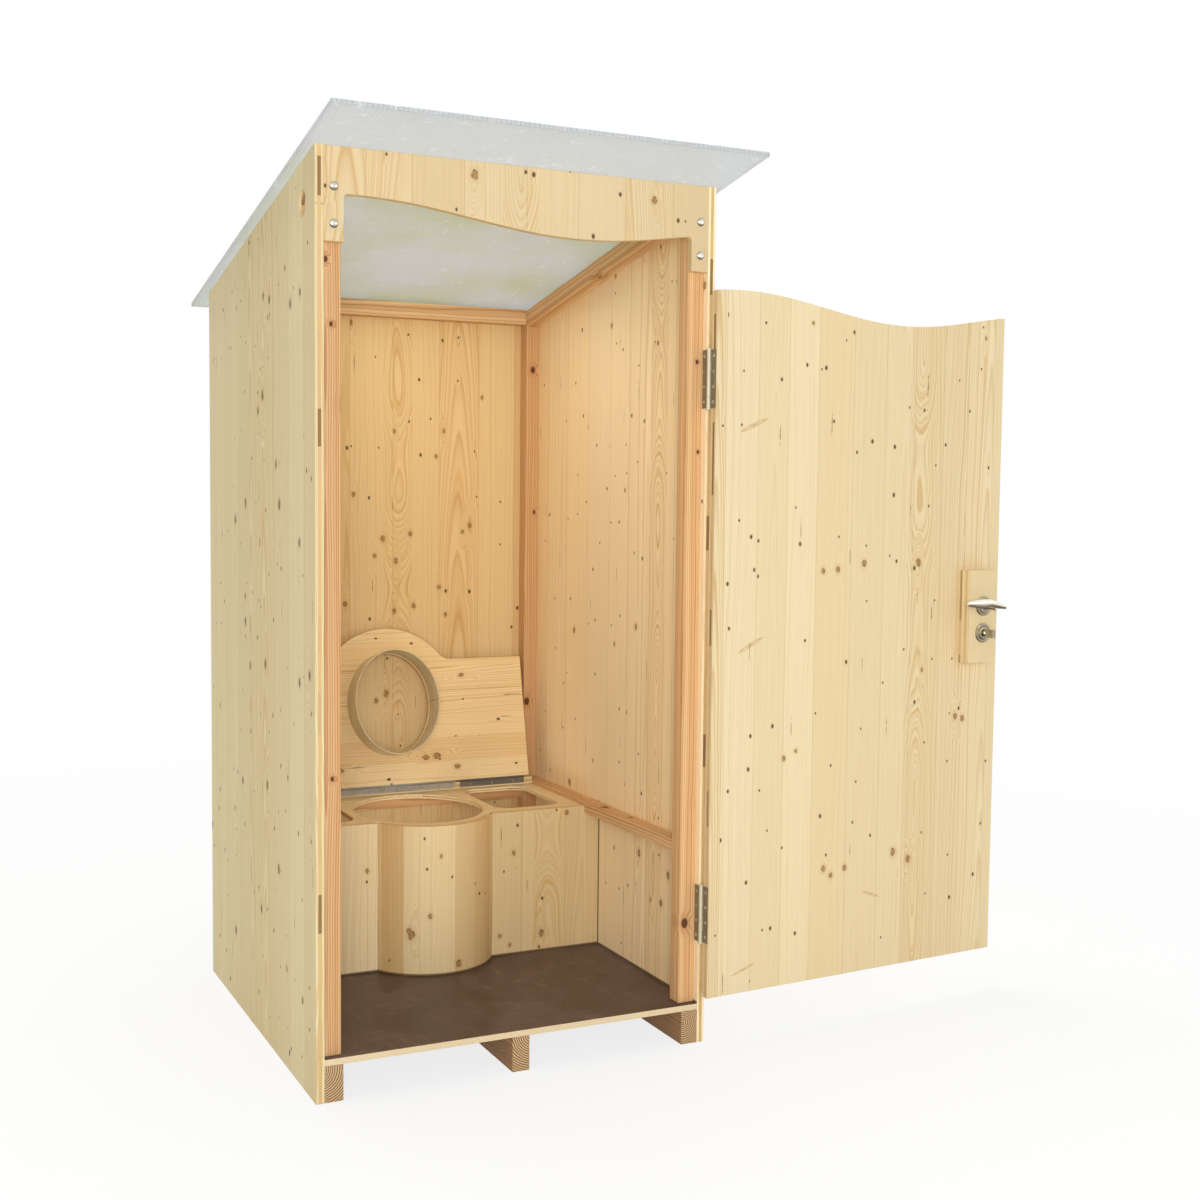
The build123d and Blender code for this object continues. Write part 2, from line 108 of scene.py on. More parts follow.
def add(tree, kind, inputs=(), operation=None, **settings):
    node = tree.nodes.new("ShaderNode" + kind)
    if operation:
        node.operation = operation
    for name, value in settings.items():
        setattr(node, name, value)
    for key, value in inputs.items() if isinstance(inputs, dict) else enumerate(inputs):
        if isinstance(value, bpy.types.Node):
            value = next(out for out in value.outputs if out.enabled)
        if isinstance(value, bpy.types.NodeSocket):
            tree.links.new(value, node.inputs[key])
        else:
            node.inputs[key].default_value = linear(value) if isinstance(value, str) else value
    return node


def new_material(name):
    material = bpy.data.materials.new(name)
    material.use_nodes = True
    material.node_tree.nodes.clear()
    return material, material.node_tree


def finish_material(tree, shader):
    add(tree, "OutputMaterial", {"Surface": shader})


print("black and white:", linear("000000")[0], round(linear("FFFFFF")[0], 3))

# %% [markdown]
# A real surface gets its colour in steps: pale wood, then ring lines, then knots, each over the
# last. The first function here lays such coats in the order they are given. The others measure
# how far a place is from a spot, find the nearest spot, scatter soft patches, and draw the lines
# of growth rings, which darken slowly through a summer and turn pale again at once.

# %% Coats, spots, patches and rings
def coated(tree, base, *coats):
    """Each coat says where it lies, how strongly, in what colour and, if need be, how it blends."""
    for where, share, colour, *blend in coats:
        if share != 1:
            where = add(tree, "Math", [where, share], "MULTIPLY")
        base = add(tree, "Mix", {0: where, 6: base, 7: colour}, data_type="RGBA",
                   blend_type=blend[0] if blend else "MIX")
    return base


def distance_from(tree, spot, place, stretch, angle=0):
    """How far a place is from a spot, with each direction stretched, after a turn in degrees."""
    gap = add(tree, "VectorMath", [place, spot], "SUBTRACT")
    if angle:
        gap = add(tree, "VectorRotate", {"Vector": gap, "Angle": -math.radians(angle)},
                  rotation_type="Z_AXIS")
    gap = add(tree, "VectorMath", [gap, stretch], "MULTIPLY")
    return add(tree, "VectorMath", [gap], "LENGTH").outputs["Value"]


def nearest(tree, distances):
    least, *others = distances
    for other in others:
        least = add(tree, "Math", [least, other], "MINIMUM")
    return least


def patches(tree, place, start, end, scale=1, detail=4, roughness=0.5):
    """Soft random patches: 0 where the noise is below start, 1 where it is above end."""
    noise = add(tree, "TexNoise", {"Vector": place, "Scale": scale, "Detail": detail,
                                   "Roughness": roughness})
    return add(tree, "MapRange", {"Value": noise, "From Min": start, "From Max": end})


def ring_lines(tree, radius, ring, power, end):
    """Growth rings of one width round a pith, with the year's pale start squeezed by a power."""
    year = add(tree, "Math", [add(tree, "Math", [radius, ring], "DIVIDE")], "FRACT")
    summer = add(tree, "Math", [year, power], "POWER")
    winter = add(tree, "MapRange", {"Value": year, "From Min": 1.0, "From Max": end})
    return add(tree, "Math", [summer, winter], "MULTIPLY")


print("surface helpers ready")

# %% [markdown]
# Spruce is drawn as it grows. Growth rings are cylinders round a pith line, so a sawn face shows
# them as long lines or arches. Boards are glued up from staves, and each stave comes from
# another place in another log: near the pith it shows arches, far from it straight lines.
# The first part of the pattern finds the stave that a point is in. A random cell per stave also
# gives the three numbers that make each stave its own.

# %% The staves of a board
JOINT_EDGES = (0.009, 0.003)              # shares of a stave between which a glue joint fades in
WOBBLE, BUMPS = 2.2 * MM, 90.0            # how ragged a knot's outline is, and its bumps in a metre
GROUP_INPUTS = {"Place": None, "Seed": 0.0, "Stave": 0.13, "Share": 99.0, "Lens": 99.0, "Heart": 99.0,
                "Pins": 0.44, "Knots": 0.5}


def stave_of(tree, given):
    """Where a point is on the board and in its stave, and the stave's three random numbers."""
    across, along, depth = add(tree, "SeparateXYZ", [given["Place"]]).outputs
    counted = add(tree, "Math", [across, given["Stave"]], "DIVIDE")
    shifted = add(tree, "Math", [counted, given["Seed"]], "ADD")
    cell, edge = (add(tree, "TexVoronoi", {"W": shifted, "Scale": 1, "Randomness": 0.4},
                      voronoi_dimensions="1D", feature=feature) for feature in ("F1", "DISTANCE_TO_EDGE"))
    red, green, blue = add(tree, "SeparateColor", [cell.outputs["Color"]]).outputs
    inside = add(tree, "Math", [shifted, cell.outputs["W"]], "SUBTRACT")
    own = add(tree, "Math", [inside, given["Stave"]], "MULTIPLY")
    joint = add(tree, "MapRange", {"Value": edge.outputs["Distance"], "From Min": JOINT_EDGES[0],
                                   "From Max": JOINT_EDGES[1]})
    rough = add(tree, "TexNoise", {"Vector": given["Place"], "Scale": BUMPS, "Detail": 2})
    ragged = add(tree, "Math", [rough, WOBBLE, -WOBBLE / 2], "MULTIPLY_ADD")
    return SimpleNamespace(across=across, along=along, depth=depth, own=own, joint=joint, ragged=ragged,
                           place=given["Place"], seed=given["Seed"], red=red, green=green, blue=blue)


print("a stave is", GROUP_INPUTS["Stave"], "m wide")

# %% [markdown]
# Two sizes of knot are scattered one to a cell: pin knots, which are dark and small with a pale
# ring round them, and brown branch knots with a dark bark line. The rings swell round a knot.
# Resin leaves short dark slits along the grain. All three come from one function, which gives
# the distance from the nearest spot in that spot's own radii.

# %% Knots and slits at random
SWIRL = 0.27                              # share of a spot's squeeze that the swirl round it keeps
HIDDEN = 0.01 * MM                        # radius of a spot that isn't shown
STAVE_SHIFT = 37.0                        # moves the spots of each stave by its own amount
# cells per metre across and along, shift, smallest and largest radius, squeeze along the grain
BRANCH_KNOTS = ((5.3, 3.7), 0.0, 4.0 * MM, 8.0 * MM, 0.72)
PIN_KNOTS = ((13.0, 8.0), 5.0, 2.5 * MM, 4.7 * MM, 0.70)
RESIN_SLITS = ((6.0, 2.3), 9.0, 0.9 * MM, 1.4 * MM, 0.045)


def scattered(tree, wood, limit, cells, shift, small, large, squeeze):
    """Distance from the nearest spot in its own radii, and the same for the swirl round it."""
    lane = add(tree, "Math", [wood.red, STAVE_SHIFT, shift], "MULTIPLY_ADD")
    place = add(tree, "CombineXYZ", [add(tree, "Math", [wood.across, cells[0], wood.seed], "MULTIPLY_ADD"),
                                     add(tree, "Math", [wood.along, cells[1], lane], "MULTIPLY_ADD"), 0])
    spot = add(tree, "TexVoronoi", {"Vector": place, "Scale": 1, "Randomness": 1}, voronoi_dimensions="2D",
               feature="F1")
    size, chance, _ = add(tree, "SeparateColor", [spot.outputs["Color"]]).outputs
    shown = add(tree, "Math", [chance, limit], "LESS_THAN")
    mostly_small = add(tree, "Math", [size, 2.0], "POWER")
    radius = add(tree, "Math", [mostly_small, large - small, small], "MULTIPLY_ADD")
    radius = add(tree, "Math", [radius, shown, HIDDEN], "MULTIPLY_ADD")
    far, long = (distance_from(tree, spot.outputs["Position"], place,
                               (1 / cells[0], share * squeeze / cells[1], 0)) for share in (1, SWIRL))
    return (add(tree, "Math", [add(tree, "Math", [far, wood.ragged], "ADD"), radius], "DIVIDE"),
            add(tree, "Math", [long, radius], "DIVIDE"))


print("knots from", BRANCH_KNOTS[2] / MM, "to", BRANCH_KNOTS[3] / MM, "mm in radius, pin knots from",
      PIN_KNOTS[2] / MM)

# %% [markdown]
# The rings are measured from the pith, which wanders slowly along the log and lies at its own
# place beside each stave. One stave of a board may be cut through the heart of its log: there
# the pith runs just under the face, and the rings show as tall arches.

# %% Rings round the pith
SPRUCE_RING = 4.5 * MM
HEART_HALF_WIDTH = 44 * MM
SWELL, PIN_SWELL = 22 * MM, 2.5 * MM      # how far a knot pushes the rings out
SWAY = 50 * MM                            # how far the pith wanders from side to side
PITH_SPREAD = 260 * MM                    # how far beside a stave its pith may lie
PITH_DEPTH = (10 * MM, 50 * MM)           # the least depth under the face, and how much it varies
WANDER = (6.0, 1.0, 6.0)                  # the pith wanders most slowly along the log
TAPER = 0.05                              # how much the log narrows along its length
ARCH_DEPTH = (-45 * MM, 160 * MM)         # the same two numbers for the heart, where arches form


def rings_of(tree, wood, heart_place, lens, pin_halo):
    """Distance from the pith, and whether the point is in the heart stave."""
    slow_place = add(tree, "VectorMath", [wood.place, WANDER], "MULTIPLY")
    own_log = add(tree, "Math", [wood.red, 50.0], "MULTIPLY")
    slow = add(tree, "TexNoise", {"Vector": slow_place, "W": own_log, "Scale": 1.5, "Detail": 3,
                                  "Roughness": 0.4}, noise_dimensions="4D")
    sway = add(tree, "Math", [slow, SWAY, -SWAY / 2], "MULTIPLY_ADD")
    from_heart = add(tree, "Math", [wood.across, heart_place], "SUBTRACT")
    heart = add(tree, "Math", [add(tree, "Math", [from_heart], "ABSOLUTE"), HEART_HALF_WIDTH], "LESS_THAN")
    pith = add(tree, "Math", [wood.green, PITH_SPREAD, -PITH_SPREAD / 2], "MULTIPLY_ADD")
    side = add(tree, "Mix", {0: heart, 2: add(tree, "Math", [wood.own, pith], "SUBTRACT"), 3: from_heart},
               data_type="FLOAT")
    billow = add(tree, "TexNoise", {"W": add(tree, "Math", [wood.along, 1.1, wood.seed], "MULTIPLY_ADD"),
                                    "Scale": 1, "Detail": 2}, noise_dimensions="1D")
    heart_deep = add(tree, "Math", [billow, ARCH_DEPTH[1], ARCH_DEPTH[0]], "MULTIPLY_ADD")
    taper = add(tree, "Math", [wood.blue, TAPER, -TAPER / 2], "MULTIPLY_ADD")
    deep = add(tree, "Math", [wood.red, PITH_DEPTH[1], PITH_DEPTH[0]], "MULTIPLY_ADD")
    deep = add(tree, "Math", [wood.along, taper, deep], "MULTIPLY_ADD")
    deep = add(tree, "Mix", {0: heart, 2: deep, 3: heart_deep}, data_type="FLOAT")
    reach = add(tree, "CombineXYZ", [add(tree, "Math", [side, sway], "ADD"),
                                     add(tree, "Math", [deep, wood.depth], "ADD"), 0])
    radius = add(tree, "VectorMath", [reach], "LENGTH").outputs["Value"]
    radius = add(tree, "Math", [lens, SWELL, radius], "MULTIPLY_ADD")
    return add(tree, "Math", [pin_halo, PIN_SWELL, radius], "MULTIPLY_ADD"), heart


print("spruce rings are", SPRUCE_RING / MM, "mm wide")

# %% [markdown]
# The parts come together in a node group, so every board shares one pattern. Good and poor years
# come in groups, so the rings read as broader streaks from further off. Fine fibres run along
# the grain. The group gives each feature as an amount from 0 to 1, and the board's own material
# chooses the colours.

# %% The spruce pattern as a node group
YEAR_GROUPS = 150.0                       # groups of good and poor years in a metre of wood
BARK_GAPS = 130.0                         # gaps in a metre of bark line
# fibres in a metre across, along and in depth: each is 2.6 mm wide, much coarser than real ones,
# because finer ones would not show
FIBRES = (380.0, 6.0, 380.0)
# what fades, and the values between which it does, in radii of a knot where it is a distance
FADES = (("patchy", "patchy", 0.40, 0.56), ("bark_in", "brown", 0.50, 0.85),
         ("bark_out", "brown", 1.15, 0.90), ("knot", "brown", 1.12, 0.55), ("halo", "brown", 2.6, 0.7),
         ("lens", "brown_lens", 2.6, 0.5), ("pin", "pins", 1.35, 0.5),
         ("pin_halo", "pin_lens", 3.6, 0.8), ("slit", "slits", 1.3, 0.5))


def softwood_group():
    tree = bpy.data.node_groups.new("softwood_staves", "ShaderNodeTree")
    for name, default in GROUP_INPUTS.items():
        kind = "NodeSocketVector" if default is None else "NodeSocketFloat"
        socket = tree.interface.new_socket(name, in_out="INPUT", socket_type=kind)
        if default is not None:
            socket.default_value = default
    given = tree.nodes.new("NodeGroupInput").outputs
    wood = stave_of(tree, given)

    seen = {"patchy": add(tree, "TexNoise", {"Vector": wood.place, "Scale": BARK_GAPS, "Detail": 1})}
    brown, brown_lens = scattered(tree, wood, given["Knots"], *BRANCH_KNOTS)
    seen["brown"] = nearest(tree, [brown, given["Share"]])
    seen["brown_lens"] = nearest(tree, [brown_lens, given["Lens"]])
    seen["pins"], seen["pin_lens"] = scattered(tree, wood, given["Pins"], *PIN_KNOTS)
    seen["slits"], _ = scattered(tree, wood, add(tree, "Math", [given["Pins"]], "SQRT"), *RESIN_SLITS)
    faded = SimpleNamespace()
    for name, source, start, end in FADES:
        smooth = add(tree, "MapRange", {"Value": seen[source], "From Min": start, "From Max": end},
                     interpolation_type="SMOOTHSTEP")
        setattr(faded, name, smooth)
    bark = add(tree, "Math", [faded.bark_in, faded.bark_out], "MULTIPLY")
    bark = add(tree, "Math", [bark, faded.patchy], "MULTIPLY")

    radius, heart = rings_of(tree, wood, given["Heart"], faded.lens, faded.pin_halo)
    strong = add(tree, "Math", [add(tree, "Math", [wood.blue, 2.5], "POWER"), 0.75, 0.2], "MULTIPLY_ADD")
    strong = add(tree, "Math", [strong, add(tree, "Math", [heart, 0.75], "MULTIPLY")], "MAXIMUM")
    line = add(tree, "Math", [ring_lines(tree, radius, SPRUCE_RING, 3.0, 0.88), strong], "MULTIPLY")
    own_years = add(tree, "Math", [wood.red, 90.0], "MULTIPLY")
    years = add(tree, "Math", [radius, YEAR_GROUPS, own_years], "MULTIPLY_ADD")
    years = add(tree, "TexNoise", {"W": years, "Scale": 1, "Detail": 2, "Roughness": 0.7},
                noise_dimensions="1D")
    band = add(tree, "MapRange", {"Value": years, "From Min": 0.50, "From Max": 0.72})
    stripy = add(tree, "MapRange", {"Value": wood.blue, "To Min": 0.25, "To Max": 1.0})
    band = add(tree, "Math", [band, add(tree, "Math", [stripy, heart], "MAXIMUM")], "MULTIPLY")
    fibre = add(tree, "VectorMath", [wood.place, FIBRES], "MULTIPLY")
    fibre = add(tree, "TexNoise", {"Vector": fibre, "Scale": 1, "Detail": 3, "Roughness": 0.6})

    found = {"Line": line, "Band": band, "Tone": wood.red, "Hue": wood.green, "Joint": wood.joint,
             "Knot": faded.knot, "Bark": bark, "Halo": faded.halo, "Pin": faded.pin, "Slit": faded.slit,
             "Fibre": fibre}
    for name in found:
        tree.interface.new_socket(name, in_out="OUTPUT", socket_type="NodeSocketFloat")
    out = tree.nodes.new("NodeGroupOutput")
    for name, value in found.items():
        tree.links.new(value.outputs[0] if isinstance(value, bpy.types.Node) else value, out.inputs[name])
    return tree


staves = softwood_group()
print("softwood group:", len(staves.nodes), "nodes")

# %% [markdown]
# A three-layer board has two face plies with the grain one way and a core with the grain
# the other way, so a long edge shows the core's darker end grain between two light stripes. A
# Mapping node turns the object's coordinates into the board's own: across, along, depth.

# %% A board's own directions and its core
BOARD, FACE_PLY = 20 * MM, 6 * MM         # thickness of a wall board and of its face plies
CORE_SEED = 17.3
CORE_STAVE = 90 * MM
CORE_SIDE, CORE_SIDE_LINE = "E3C896", "A97F47"


def own_place(tree, middle, across, along):
    """A point and a normal in a board's own directions: across the grain, along it, depth."""
    across, along = Vector(across).normalized(), Vector(along).normalized()
    turned = Matrix((across, along, across.cross(along))).transposed().to_euler()
    coords = add(tree, "TexCoord")
    place = add(tree, "Mapping", {"Vector": coords.outputs["Object"], "Location": middle,
                                  "Rotation": turned}, vector_type="TEXTURE")
    facing = add(tree, "Mapping", {"Vector": coords.outputs["Normal"], "Rotation": turned},
                 vector_type="TEXTURE")
    return place, facing


def core_look(tree, split, toward_long_edge, seed, tones):
    """The core ply at an edge: end grain on a long edge, plain lines on a short one."""
    across, along, depth = split
    swapped = add(tree, "CombineXYZ", [along, across, depth])
    cross = add(tree, "Group", {"Place": swapped, "Seed": seed + CORE_SEED, "Stave": CORE_STAVE},
                node_tree=staves).outputs
    darker = add(tree, "MapRange", {"Value": cross["Tone"], "From Min": 0.62, "From Max": 0.8})
    ends = coated(tree, tones[0], (darker, 1, tones[1]), (cross["Line"], 0.8, tones[2]))
    return coated(tree, CORE_SIDE, (cross["Line"], 1, CORE_SIDE_LINE), (toward_long_edge, 1, ends))


print("wall board plies in mm:", FACE_PLY / MM, (BOARD - 2 * FACE_PLY) / MM, FACE_PLY / MM)

# %% [markdown]
# A few large knots on each board are listed, by their place and radius in metres. A branch
# that was sawn along its length leaves a long slanting spike. A board that stands on the floor
# is drawn with a thin dark line along its foot, and the right wall has one more where the
# seat box meets it.

# %% Knots, branches and dark foot lines, listed
KNOT_SQUEEZE, LENS_SQUEEZE = 0.75, 0.22   # how much longer than wide a knot and its swirl are
SEAT_BOX_TOP = 0.480


def hand_set_knots(tree, place, knots):
    """The two distances that the pattern's group takes, or none where a board has no such knots."""
    found = {}
    for socket, squeeze in (("Share", KNOT_SQUEEZE), ("Lens", LENS_SQUEEZE)) if knots else ():
        found[socket] = nearest(tree, [
            distance_from(tree, (across, along, 0), place, (1 / radius, squeeze / radius, 0))
            for across, along, radius in knots])
    return found


def sawn_branches(tree, place, spikes):
    """Where a branch lies, and the ripple of rings in it. A spike is a place, half sizes and a slant."""
    branch = nearest(tree, [
        distance_from(tree, (across, along, 0), place, (1 / half_long, 1 / half_wide, 0), slant)
        for across, along, half_long, half_wide, slant in spikes])
    wave = add(tree, "Math", [add(tree, "Math", [branch, math.tau], "MULTIPLY")], "COSINE")
    return (add(tree, "MapRange", {"Value": branch, "From Min": 1.1, "From Max": 0.7}),
            add(tree, "Math", [wave, 0.35, 0.5], "MULTIPLY_ADD"))


# Paints a thin dark line along the foot, and in the corner by the seat box.
def dark_foot_line(tree, foot, corner):
    """A dark line where the board meets the floor and, if there is a corner, the seat box's front."""
    coords = add(tree, "TexCoord").outputs
    _, back, low = add(tree, "SeparateXYZ", [coords["Object"]]).outputs
    gap = add(tree, "MapRange", {"Value": low, "From Min": foot + 6.5 * MM, "From Max": foot + 4 * MM})
    if corner is None:
        return gap
    upright = add(tree, "Math", [add(tree, "Math", [back, corner], "SUBTRACT")], "ABSOLUTE")
    upright = add(tree, "MapRange", {"Value": upright, "From Min": 5 * MM, "From Max": 3 * MM})
    below = add(tree, "Math", [low, SEAT_BOX_TOP], "LESS_THAN")
    gap = add(tree, "Math", [gap, add(tree, "Math", [upright, below], "MULTIPLY")], "MAXIMUM")
    inner = add(tree, "SeparateXYZ", [coords["Normal"]]).outputs[0]
    return add(tree, "Math", [gap, add(tree, "Math", [inner, -0.5], "LESS_THAN")], "MULTIPLY")


print("a knot is", round(1 / KNOT_SQUEEZE, 1), "times as tall as it is wide")

# %% [markdown]
# Bare planed spruce runs from creamy sapwood to a warmer heartwood, with ochre ring lines, and
# hardly shines. Each stave takes its own tone between the board's light and warm colours, and
# the coats follow in the order in which the eye tells them apart: streaks, lines, branches,
# knots, bark, resin, joints, and last the sawn ends and the core.

# %% Three-layer spruce
STREAK, RING_OCHRE, BRANCH_WOOD, KNOT_RIM = "C99A55", "B8853F", "B07E3C", "B98A48"
KNOT_WOOD, BARK, PIN_KNOT, RESIN = "8F5F1E", "4E3210", "553408", "7C5222"
GLUE_JOINT, FOOT_LINE_DARK, SAWN_END = "A57C40", "3B2A1B", "C9A26A"
SPRUCE_CORE = ("D2B27C", "8E6D45", "7E5A34")   # light, dark, and the lines of its end grain


def bare_wood(tree, colour, height, relief, roughness):
    """Unpainted wood hardly shines, and its grain stands a little proud."""
    bump = add(tree, "Bump", {"Strength": relief, "Distance": 0.6 * MM, "Height": height})
    finish_material(tree, add(tree, "BsdfPrincipled", {"Base Color": colour, "Roughness": roughness,
                                                       "Specular IOR Level": 0.3, "Normal": bump}))


def spruce(name, place_maker, seed, thick=BOARD, ply=FACE_PLY, light="EFDDB0", warm="E4C68E",
           spread=(0.1, 0.7), stave=0.13, heart=99.0, knots=0.45, pins=0.44, lines=0.6, streaks=0.38,
           knot_tone=KNOT_WOOD, big_knots=(), spikes=(), inside=None, foot=None, corner=None,
           core=SPRUCE_CORE):
    material, tree = new_material(name)
    place, facing = place_maker(tree)
    face = add(tree, "Group", {"Place": place, "Seed": seed, "Stave": stave, "Knots": knots, "Pins": pins,
                               "Heart": heart, **hand_set_knots(tree, place, big_knots)},
               node_tree=staves).outputs
    split = add(tree, "SeparateXYZ", [place]).outputs
    in_core = add(tree, "Math", [add(tree, "Math", [split[2]], "ABSOLUTE"), thick / 2 - ply], "LESS_THAN")
    long_edge, end, _ = add(tree, "SeparateXYZ", [add(tree, "VectorMath", [facing], "ABSOLUTE")]).outputs
    hue = add(tree, "MapRange", {"Value": face["Hue"], "To Min": spread[0], "To Max": spread[1]})
    tone = add(tree, "MapRange", {"Value": face["Tone"], "To Min": 0.965, "To Max": 1.015})
    fibre = add(tree, "MapRange", {"Value": face["Fibre"], "From Min": 0.3, "From Max": 0.7,
                                   "To Min": 0.96, "To Max": 1.02})
    coats = [(hue, 1, warm)]
    # painted light: the inner face is tinted warm, for light that bounces inside the cabin
    if inside:
        coats.append((add(tree, "SeparateXYZ", [facing]).outputs[2], 1, inside, "MULTIPLY"))
    coats += [(1.0, 1, add(tree, "Math", [tone, fibre], "MULTIPLY"), "MULTIPLY"),
              (face["Band"], streaks, STREAK), (face["Line"], lines, RING_OCHRE)]
    if spikes:
        coats.append((*sawn_branches(tree, place, spikes), BRANCH_WOOD))
    coats += [(face["Halo"], 0.26, KNOT_RIM), (face["Knot"], 0.72, knot_tone), (face["Bark"], 0.75, BARK),
              (face["Pin"], 0.96, PIN_KNOT), (face["Slit"], 0.85, RESIN), (face["Joint"], 0.45, GLUE_JOINT)]
    if foot:
        coats.append((dark_foot_line(tree, foot, corner), 0.85, FOOT_LINE_DARK))
    coats += [(end, 0.35, SAWN_END), (in_core, 1, core_look(tree, split, long_edge, seed, core))]
    grain = add(tree, "Math", [face["Line"], -0.5, face["Fibre"]], "MULTIPLY_ADD")
    bare_wood(tree, coated(tree, light, *coats), grain, 0.12, 0.62)
    return material


print("spruce is ready, its core", SPRUCE_CORE[0])

# %% [markdown]
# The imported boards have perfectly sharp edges. A saw and a sheet of sandpaper leave about a
# millimetre of round, and more on the edges people touch, and that is what catches the light.
# A copy of each board is welded into clean faces and bevelled, and the copy stands in for it.

# %% Boards with softened edges
def merged_copy(node):
    """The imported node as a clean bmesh: welded, with flat areas as whole faces."""
    mesh = bmesh.new()
    mesh.from_mesh(frame["nodes"][node].data)
    bmesh.ops.remove_doubles(mesh, verts=mesh.verts, dist=1e-6)
    bmesh.ops.dissolve_limit(mesh, angle_limit=math.radians(0.6), verts=mesh.verts, edges=mesh.edges,
                             delimit=set())
    return mesh


def to_object(mesh, name, body, material, stands_for=()):
    data = bpy.data.meshes.new(name)
    mesh.normal_update()
    mesh.to_mesh(data)
    mesh.free()
    data.materials.append(material)
    piece = bpy.data.objects.new(name, data)
    scene.collection.objects.link(piece)
    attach(piece, body)
    if stands_for:
        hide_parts(*stands_for)
    return piece


def round_edges(mesh, radius, segments, sharper_than):
    edges = [edge for edge in mesh.edges
             if len(edge.link_faces) == 2 and edge.calc_face_angle(0) > math.radians(sharper_than)]
    bmesh.ops.bevel(mesh, geom=edges, offset=radius, offset_type="OFFSET", affect="EDGES",
                    segments=segments, profile=0.5, material=-1, clamp_overlap=True)


def softened(node, material, radius=1.0 * MM):
    mesh = merged_copy(node)
    round_edges(mesh, radius, segments=2, sharper_than=30)
    to_object(mesh, node + "_soft", frame["nodes"][node]["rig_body"], material, (node,))


print("helpers for softened boards ready")

# %% [markdown]
# The door and the lid are packed in their open pose, so their grain has to be turned with
# them. Two functions carry a point of the closed door, or of the lowered lid, to where it stands.

# %% Where the open door and the raised lid stand
record_joints = {joint["name"]: joint for joint in frame["joints"]}
door_pin = Vector(record_joints["door_swing"]["pos_m"])
DOOR_OPEN = -math.radians(record_joints["door_swing"]["range_deg"][0])
lid_pin = Vector(record_joints["seat_lid_hinge"]["pos_m"])
LID_OPEN = math.radians(record_joints["seat_lid_hinge"]["range_deg"][1])
door_turn = Matrix.Rotation(DOOR_OPEN, 3, "Z")
lid_turn = Matrix.Rotation(-LID_OPEN, 3, "X")


def open_door(point):
    return door_turn @ (Vector(point) - door_pin) + door_pin


def raised(point):
    return lid_turn @ (Vector(point) - lid_pin) + lid_pin


print("door open", round(math.degrees(DOOR_OPEN), 1), "degrees, lid raised",
      round(math.degrees(LID_OPEN), 1))

# %% [markdown]
# Each board gets its own seed, so no two share a pattern, and its own few large knots. The
# walls' inner faces are painted a little warmer than the outer ones: painted light, for the warm
# light that bounces round inside the cabin.
# The first table says where each board's middle plane is and which way its grain runs, and the
# second what its wood is like.

# %% Where the boards lie
WALL, END_WALL, FLOOR_TOP, BOX_FRONT = 0.490, 0.532, 0.100, 0.045
BOX_CORNER = 0.033                        # where the seat box's front meets the right wall


def door_layer(y):
    """A layer of the door, by its place with the door closed."""
    return open_door((0, y, 0)), door_turn @ X, Z


# a point of the middle plane, across the grain, along the grain
LAID = {"left_wall": (X * -WALL, Y, Z), "right_wall": (X * WALL, Y, Z), "back_wall": (Y * END_WALL, X, Z),
        "lintel": (Y * -END_WALL, X, Z), "door_panel": door_layer(-0.537),
        "lock_block_base": door_layer(-0.517), "lock_block_cover": door_layer(-0.497),
        "box_left_panel": (Y * BOX_FRONT, X, Z), "box_right_panel": (Y * BOX_FRONT, X, Z),
        "seat_top_board": (Z * 0.494, Y, X), "seat_hinge_strip": (Z * 0.5105, Y, X),
        "seat_lid": (raised((0, 0, 0.513)), lid_turn @ Y, X)}
print("boards laid:", len(LAID))

# %% [markdown]
# A listed knot is a place across, a place along and a radius, in metres. The lintel, the lock
# block and the lid have been sanded rounder than the walls. The lock block is two offcuts whose
# core is paler than the walls'.

# %% Walls, door, box and lid boards
BOUNCE_LIGHT_WARMTH = "FFF2E2"                           # painted light: the warmth of light that bounces inside the cabin
LEFT_WALL_KNOTS = (
    (-0.335, 1.805, 0.009), (-0.14, 1.835, 0.008), (-0.08, 1.85, 0.007), (-0.07, 1.61, 0.011),
    (-0.20, 1.44, 0.008), (0.115, 1.345, 0.009), (-0.23, 1.345, 0.010), (0.23, 1.30, 0.009),
    (-0.41, 1.26, 0.008), (0.12, 1.04, 0.008), (0.07, 0.93, 0.008), (-0.09, 0.95, 0.009),
    (-0.495, 0.965, 0.009), (-0.41, 0.94, 0.008), (-0.105, 0.65, 0.009), (-0.215, 0.465, 0.009),
    (-0.04, 0.325, 0.008), (0.245, 0.195, 0.009))
BACK_WALL_KNOTS = (
    (0.0, 1.24, 0.0075), (0.085, 1.255, 0.006), (-0.025, 1.19, 0.0055), (0.04, 1.175, 0.0065),
    (0.25, 1.26, 0.005), (0.175, 1.095, 0.006), (0.095, 1.04, 0.0065), (0.035, 1.025, 0.006),
    (-0.115, 1.05, 0.0065), (-0.09, 1.37, 0.006), (0.165, 1.485, 0.005), (0.31, 1.665, 0.005),
    (0.01, 0.78, 0.008), (-0.02, 0.76, 0.006))
# placed as the door hangs closed; swung round, its own across runs the other way
DOOR_KNOTS = (
    (-0.12, 0.43, 0.0085), (-0.173, 0.405, 0.008), (0.115, 0.41, 0.007), (0.09, 0.39, 0.006),
    (0.045, 0.405, 0.006), (-0.185, 1.205, 0.008), (0.0, 1.205, 0.007), (0.135, 1.187, 0.006),
    (0.087, 1.19, 0.0065), (-0.33, 0.783, 0.0065), (-0.356, 0.776, 0.0065), (0.25, 0.71, 0.0055))
